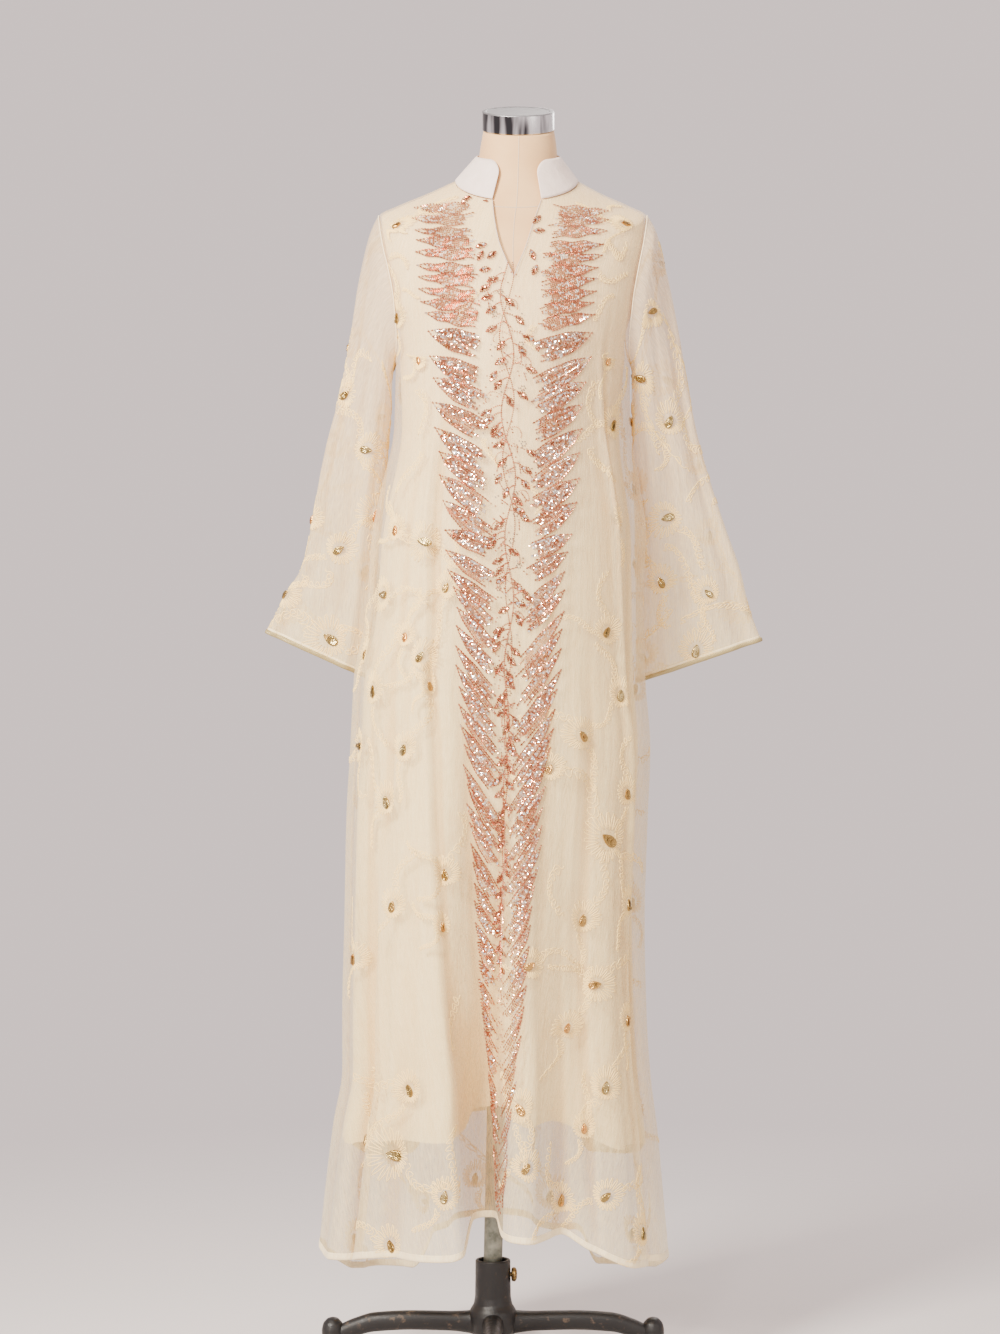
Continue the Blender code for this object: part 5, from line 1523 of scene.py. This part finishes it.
strewn_z = chance.uniform(0.42, 1.48, STREWN)
strewn_x = near_vine(strewn_z, 1.1)
levels = chance.uniform(0.50, 1.47, TWIGS)
twig_reach = 0.8 * read(SPRIG, "half_width", levels) + 0.002
middles = vine_x(levels) + twig_reach * chance.uniform(-1.0, 1.0, TWIGS)
twig_turn = chance.uniform(0.3, 2.8, TWIGS)[:, None]
along = np.array([-0.0042, 0.0, 0.0042])
twig_x = middles[:, None] + along * np.cos(twig_turn)
twig_z = levels[:, None] + along * np.sin(twig_turn)

# Each row: x, z, heading, lift, size, range of tints, and how many beads share a tint.
batches = []
for px, pz, turn, lift, size, tints, alike in (
    (strewn_x, strewn_z, 0.0, 0.0009, (0.0014, 0.0014, 0.0010), (0.10, 1.00), 1),
    (twig_x, twig_z, twig_turn, 0.0009, (0.0026, 0.0011, 0.0009), (0.10, 0.45), 3),
    (second_x, vine_levels, 0.0, 0.0008, (0.0011, 0.0013, 0.0008), (0.10, 0.34), 1),
    (*edge, 0.0, 0.0011, (0.0013, 0.0013, 0.0010), (0.02, 0.28), 1),
    (vine_x(vine_levels), vine_levels, 0.0, 0.0008, (0.0013, 0.0015, 0.0009), (0.16, 0.50), 1),
    (stem_x, stem_z, 0.0, 0.0008, (0.0014, 0.0012, 0.0009), (0.10, 0.42), 1),
    (petal_x, petal_z, 0.0, 0.0009, (0.0014, 0.0014, 0.0010), (0.60, 0.82), 1),
    (curl_x, curl_z, 0.0, 0.0008, (0.0010, 0.0010, 0.0008), (0.30, 0.62), 1),
):
    tint = np.repeat(chance.uniform(*tints, px.size // alike), alike)
    batches.append((bead_shape(), copper_frames(px, pz, turn, lift), size, tint))
sprig_beads = sewn("sprig_beads", glass, batches)
core_frames = tilted_frame(copper_frames(*core, 0.0, 0.0013), 22.0)
batches = [(sequin_shape(), core_frames, (0.0021, 0.0021, 0.0016), core_tint)]
sprig_sequins = sewn("sprig_sequins", foil, batches)


# Thread flowers and gold spots
# All over the chiffon lie round flowers of narrow cream thread loops, each with a looped trail and
# a drop-shaped gold foil spot in its middle. The ones on show stand where the photograph has
# them; the back and the far halves of the sleeves carry the same flowers in staggered rows.

# Each row: x, z, heading in degrees, size, and how amber and darkened the spot is: partly the foil's
# own colour, partly painted shade.
FLOWERS = (
    (-0.158, 1.543, 60, 0.75, 0.6), (0.150, 1.545, 130, 0.75, 0.6), (-0.163, 1.420, 80, 0.85, 0.2),
    (-0.127, 1.358, 95, 0.60, 0.9), (0.125, 1.357, 85, 0.60, 0.9), (0.132, 1.273, 60, 1.00, 0.1),
    (0.143, 1.147, 100, 0.95, 0.1), (-0.158, 1.131, 92, 0.80, 0.9), (-0.119, 1.115, 165, 1.15, 0.0),
    (-0.090, 1.054, 70, 0.80, 0.4), (-0.174, 1.046, 178, 1.05, 0.0), (0.122, 0.996, 62, 0.90, 0.2),
    (-0.144, 0.989, 88, 0.75, 0.9), (-0.200, 0.966, 100, 0.80, 0.3), (-0.124, 0.963, 50, 0.95, 0.0),
    (-0.112, 0.925, 110, 0.75, 0.5), (-0.187, 0.917, 96, 1.00, 0.1), (0.141, 0.912, 84, 0.95, 0.0),
    (0.090, 0.859, 130, 1.00, 0.5), (-0.207, 0.844, 172, 1.00, 0.0), (-0.146, 0.841, 75, 0.90, 0.1),
    (0.045, 0.816, 60, 0.80, 0.6), (0.150, 0.781, 95, 0.85, 0.4), (-0.169, 0.771, 105, 1.00, 0.0),
    (0.125, 0.721, 145, 1.45, 0.3), (-0.091, 0.678, 95, 0.90, 0.3), (-0.161, 0.635, 80, 0.90, 0.4),
    (0.152, 0.633, 98, 0.90, 0.3), (0.090, 0.616, 85, 0.95, 0.5), (-0.095, 0.610, 100, 0.75, 0.6),
    (0.020, 0.560, 35, 0.90, 0.7), (0.106, 0.531, 20, 1.05, 0.6), (0.069, 0.476, 100, 0.80, 0.8),
    (-0.137, 0.396, 115, 1.00, 0.1), (0.120, 0.396, 95, 1.00, 0.1), (0.007, 0.375, 125, 1.05, 0.6),
    (0.091, 0.343, 105, 0.80, 0.8), (-0.212, 0.334, 90, 0.90, 0.4), (-0.157, 0.310, 168, 1.50, 0.2),
    (0.015, 0.299, 55, 0.95, 0.4), (-0.091, 0.264, 75, 1.00, 0.1), (0.061, 0.250, 85, 0.95, 0.5),
    (0.120, 0.254, 65, 0.95, 0.2), (-0.162, 0.188, 105, 1.00, 0.2), (0.170, 0.200, 92, 1.00, 0.0),
    (-0.214, 0.560, 88, 0.90, 0.5), (0.150, 0.480, 92, 0.85, 0.5),
)
SLEEVE_FLOWERS = {
    "right": (
        (-0.231, 1.320, 62, 0.95, 0.2), (-0.201, 1.245, 35, 1.05, 0.0),
        (-0.188, 1.158, 100, 1.25, 1.0), (-0.278, 1.153, 75, 0.80, 0.8),
        (-0.240, 1.110, 60, 1.00, 0.1), (-0.315, 1.050, 55, 0.90, 0.2),
        (-0.252, 0.988, 172, 1.35, 0.0),
    ),
    "left": (
        (0.186, 1.429, 130, 0.85, 0.3), (0.170, 1.340, 95, 1.00, 0.2),
        (0.211, 1.283, 30, 1.05, 0.0), (0.210, 1.154, 175, 1.10, 0.0),
        (0.202, 1.066, 95, 0.95, 0.2), (0.267, 1.051, 120, 0.85, 0.1),
        (0.250, 0.972, 60, 1.10, 0.0),
    ),
}
LONE_TRAILS = table(
    "x z heading size",
    (-0.168, 1.500, -10, 0.60), (-0.150, 1.455, 10, 0.45), (0.122, 1.520, 0, 0.60),
    (0.112, 1.472, -25, 0.75), (0.105, 1.410, 15, 0.65), (-0.130, 1.320, -70, 0.90),
    (-0.122, 1.235, -100, 0.90), (0.108, 1.330, -80, 0.90), (0.100, 1.240, -65, 0.90),
    (-0.100, 1.560, 170, 0.55), (0.128, 1.566, 0, 0.45), (-0.046, 1.450, -95, 0.60),
    (0.026, 1.400, -90, 0.60), (-0.040, 1.250, -88, 0.60), (0.020, 1.190, -92, 0.60),
    (-0.070, 0.760, -85, 1.00), (-0.075, 0.520, -80, 1.00), (0.060, 0.690, -95, 1.00),
)
PETAL_LOOPS = 21
PETAL_STEPS = 7
PETAL_INNER = 0.0092
PETAL_OUTER = 0.0225
SPOT_SIZE = (0.0090, 0.0050, 0.0014)
SPOT_LIFT = 0.0017
SPOT_TILT = 2.0
SCALES = (-0.0042, 0.0, 0.0040)
SCALE_SIZE = (0.0031, 0.0031, 0.0022)
SCALE_LIFT = 0.0030
SCALE_TILT = 16.0
TRAIL_LENGTH = 0.066
TRAIL_WIDTH = 0.0056
TRAIL_BOW = 0.016
TRAIL_LOOPS = 8
TRAIL_STEPS = 10
GOLD_STOPS = (
    (0.0, (0.72, 0.56, 0.26)), (0.25, (0.30, 0.21, 0.07)), (0.6, (0.48, 0.29, 0.09)),
    (1.0, (0.78, 0.38, 0.11)),
)


def loop_flower(heading, size):
    """A closed thread path of narrow loops: its radius swings between the drop's edge and the
    outer ring, and both reach further on the side the drop points to."""
    t = np.linspace(0, 2 * math.pi, PETAL_LOOPS * PETAL_STEPS + 1)[None]
    heading, size = heading[:, None], size[:, None]
    swing = np.sin(PETAL_LOOPS * t / 2) ** 2
    along = 1 + 0.28 * np.cos(t - heading) + 0.05 * np.sin(3 * t + 5 * heading)
    jitter = 1 + 0.09 * np.sin(2.3 * PETAL_LOOPS * t + 9 * heading)
    radius = size * along * (PETAL_INNER + (PETAL_OUTER - PETAL_INNER) * swing**0.8 * jitter)
    lean = t + 0.30 / PETAL_LOOPS * np.sin(2 * PETAL_LOOPS * t)
    return radius * np.cos(lean), radius * np.sin(lean)


def loop_trail(heading, size, number, start=PETAL_OUTER * 1.1):
    """An open thread path that wanders away from a seat in wide side loops, a bow to one side and
    then the other, with loops that lean back over each other like handwriting."""
    t = np.linspace(0, 1, TRAIL_LOOPS * TRAIL_STEPS + 1)[None]
    heading, size, number = heading[:, None], size[:, None], number[:, None]
    swing = 2 * math.pi * TRAIL_LOOPS * t
    width = TRAIL_WIDTH * (1 - 0.35 * t) * (1 + 0.25 * np.sin(9 * t + 2 * number))
    bow = TRAIL_BOW * (np.sin(3.4 * t + number) - np.sin(number))
    forward = start + TRAIL_LENGTH * t + 0.0036 * np.sin(2 * swing)
    sideways = width * np.cos(swing + 0.5 * np.sin(5 * t + number)) + bow
    c, s = np.cos(heading), np.sin(heading)
    return size * (forward * c - sideways * s), size * (forward * s + sideways * c)


def threads(surface, u, v, across, up, half_wide=0.00066, height=0.0008):
    """Threads laid on the cloth at distances across and up from their seats, as low ridges."""
    pu, pv = lay_on(surface, u[:, None] + 0 * across, v[:, None] + 0 * across, across, up)
    path, out = skin(surface, pu, pv, 0.0002, SEWING_STEPS)
    beside = unit(np.cross(out, np.gradient(path, axis=1)))
    grid = np.stack([path - beside * half_wide, path + out * height, path + beside * half_wide], 2)
    return stack(list(grid))


def drop_shape(sides=14):
    """A domed drop of length two and width two: a round end narrowing to a point at +x. Its rim
    reaches down into the cloth."""
    t = np.linspace(0, 2 * math.pi, sides, endpoint=False)
    x = np.cos(t)
    ring = np.stack([x, np.sin(t) * (1 - 0.35 * x - 0.18 * x**2), 0 * t], -1)
    rim = ring - [0, 0, 1.1]
    edge = ring * 0.95 + [0, 0, 0.35]
    inner = ring * 0.55 + [-0.05, 0, 0.85]
    first = np.arange(sides)
    after = (first + 1) % sides
    faces = [np.stack([first + 2 * sides, after + 2 * sides, np.full(sides, 3 * sides)], -1)]
    for low in (0, sides):
        faces.append(np.stack([first, after, after + sides], -1) + low)
        faces.append(np.stack([first, after + sides, first + sides], -1) + low)
    return np.concatenate([rim, edge, inner, [[-0.05, 0.0, 1.0]]]), np.concatenate(faces)


cream_thread, tree = new_material("cream_thread", roughness=0.55, Sheen_Weight=0.15)
twist = noise(tree, object_point(tree), (900.0, 900.0, 900.0))
coat(tree, twist, ((1.0, 0.66, 0.21), (1.0, 0.76, 0.32)), (0.0003, 0.6))
gold_foil, tree = new_material("gold_spot_foil", roughness=0.24, metallic=1.0)
dent = noise(tree, object_point(tree), 520.0)
into(tree, Base_Color=tinted(tree, GOLD_STOPS), Normal=bump(tree, dent, 0.0012, 0.9))


def flowers_on(word, surface, u, v, rows, lone_trails=()):
    """Flowers, trails and gold spots at seats on one piece of cloth, with any trails that stand
    alone. A spot is a drop with three scales along it. Returns the two pieces."""
    heading, size, amber_and_shade = np.radians(rows[:, 0]), rows[:, 1], rows[:, 2]
    number = np.arange(len(rows), dtype=float)
    paths = [threads(surface, u, v, *loop_flower(heading, size)), *lone_trails]
    for turn, far, start in ((0.2, 1.0, 0.0), (2.6, 0.8, 2.0)):
        away = heading + turn + 0.5 * np.sin(3.1 * number + start)
        paths.append(threads(surface, u, v, *loop_trail(away, far * size, 1.7 * number + start)))
    loops = place("thread_flowers_" + word, joined(paths), cream_thread, welded=False)
    seat = tilted_frame(on_cloth_frame(surface, u, v, SPOT_LIFT, heading), SPOT_TILT)
    spot_size = np.stack([size, size, 0 * size + 1], -1) * SPOT_SIZE
    along = np.array(SCALES) * size[:, None]
    count = len(SCALES)
    u, v, turn, scale = (np.repeat(value, count) for value in (u, v, heading, size))
    seat_u, seat_v = lay_on(surface, u, v, along.ravel() * np.cos(turn), along.ravel() * np.sin(turn))
    scales = tilted_frame(on_cloth_frame(surface, seat_u, seat_v, SCALE_LIFT, turn), SCALE_TILT)
    # The tint of spots and scales is partly their own amber foil and partly painted shade on spots in
    # shadow.
    scale_tint = np.repeat(amber_and_shade, count) + chance.uniform(-0.1, 0.25, len(u))
    batches = [
        (drop_shape(), seat, spot_size, 0.22 + 0.75 * amber_and_shade),
        (sequin_shape(8), scales, scale[:, None] * SCALE_SIZE, np.clip(scale_tint, 0, 1)),
    ]
    return [loops, sewn("gold_spots_" + word, gold_foil, batches)]


def staggered(grid, columns, levels, low, high):
    """Seats in staggered rows over part of a grid: columns between low and high, at each height,
    every seat a little off its place."""
    middle = grid[:, round((low + high) / 2), 2]
    rows = np.interp(-np.asarray(levels), -middle, np.arange(len(grid), dtype=float))
    pitch = (high - low) / columns
    shift = np.where(np.arange(len(rows)) % 2 == 0, 0.0, 0.5) * pitch
    u = np.linspace(low, high, columns) + shift[:, None]
    u = u + chance.uniform(-0.18 * pitch, 0.18 * pitch, u.shape)
    v = rows[:, None] + 0.16 * np.diff(rows).mean() * chance.uniform(-1, 1, u.shape)
    looks = [chance.uniform(*ends, u.size) for ends in ((50, 130), (0.8, 1.1), (0, 0.6))]
    return u.ravel(), v.ravel(), np.stack(looks, 1)


x, z, heading, size = LONE_TRAILS.values()
path = loop_trail(np.radians(heading), size, np.arange(len(x)) * 1.3, 0.0)
lone_trails = [threads(front_cloth, *front_seats(x, z), *path)]
rows = np.array(FLOWERS)
seats_of = front_seats(rows[:, 0], rows[:, 1])
on_front = flowers_on("front", front_cloth, *seats_of, rows[:, 2:], lone_trails)
back_rows = staggered(back_grid, 5, np.linspace(1.47, 0.22, 10), 16, 196)
on_back = flowers_on("back", back_cloth, *back_rows)
for word, behind in (("right", 72), ("left", 8)):
    points, surface = sleeves[word]["points"], sleeves[word]["surface"]
    rows = np.array(SLEEVE_FLOWERS[word])
    guess = first_guess(points, rows[:, 0], rows[:, 1])
    u, v = seats(surface, rows[:, 0], rows[:, 1], *guess)
    far_u, far_v, looks = staggered(points, 2, np.linspace(1.44, 1.00, 5), behind, behind + 44)
    u, v = np.concatenate([u, far_u]), np.concatenate([v, far_v])
    looks = np.concatenate([rows[:, 2:], looks])
    sleeves[word]["on"] += flowers_on("sleeve_" + word, surface, u, v, looks)


# Pieces on each panel
# What is sewn on or along the front, with its hem, and the back's hem are gathered in one list
# for each panel.

on_front += [hems["front"], slit_edging, band_beads, band_sequins, sprig_beads, sprig_sequins]
on_back.append(hems["back"])


# Studio
# A plain pale floor that fades out, soft boxes, and the camera at the photograph's angle. None of
# it belongs to the piece.

camera_data = bpy.data.cameras.new("camera")
camera_data.lens = 81.0
camera = bpy.data.objects.new("camera", camera_data)
camera.location = (-0.019, -4.08, 0.95)
camera.rotation_euler = (math.pi / 2, 0.0, 0.0)
bpy.context.scene.collection.objects.link(camera)
bpy.context.scene.camera = camera

world = bpy.data.worlds.new("studio")
world.use_nodes = True
background = world.node_tree.nodes["Background"]
background.inputs["Color"].default_value = (0.83, 0.70, 0.68, 1.0)
background.inputs["Strength"].default_value = 1.30
bpy.context.scene.world = world

# Each row: name, place, height of the point it looks at, size, power and colour.
for name, seat, aim, size, power, colour in (
    ("key", (-2.0, -2.7, 2.8), 1.05, 0.9, 430.0, (1.0, 0.94, 0.84)),
    ("glint", (-0.8, -4.1, 2.2), 0.95, 0.30, 70.0, (1.0, 0.97, 0.92)),
    ("fill", (2.6, -2.6, 1.5), 0.9, 1.6, 30.0, (1.0, 0.94, 0.84)),
    ("rear", (0.9, 2.6, 2.8), 1.1, 1.6, 60.0, (1.0, 0.96, 0.90)),
):
    light = bpy.data.lights.new(name, "AREA")
    light.size = size
    light.energy = power
    light.color = colour
    lamp = bpy.data.objects.new(name, light)
    lamp.location = seat
    away = np.array(seat) - np.array([0.0, 0.0, aim])
    tip = math.acos(away[2] / np.linalg.norm(away))
    lamp.rotation_euler = (tip, 0.0, math.atan2(away[0], -away[1]))
    bpy.context.scene.collection.objects.link(lamp)

corners = np.array([[-3, -3, 0], [3, -3, 0], [3, 3, 0], [-3, 3, 0]], float)
floor = bpy.data.objects.new("floor", fill_mesh("floor", corners, np.array([[0, 1, 2, 3]])))
bpy.context.scene.collection.objects.link(floor)
pale, tree = new_material("pale_floor", roughness=0.9, Base_Color=(0.62, 0.58, 0.57, 1.0))
length = {"operation": "LENGTH"}
from_middle = node(tree, "ShaderNodeVectorMath", length, Vector=object_point(tree))
into(tree, Alpha=spread(tree, from_middle.node.outputs["Value"], 2.2, 0.5))
floor.data.materials.append(pale)
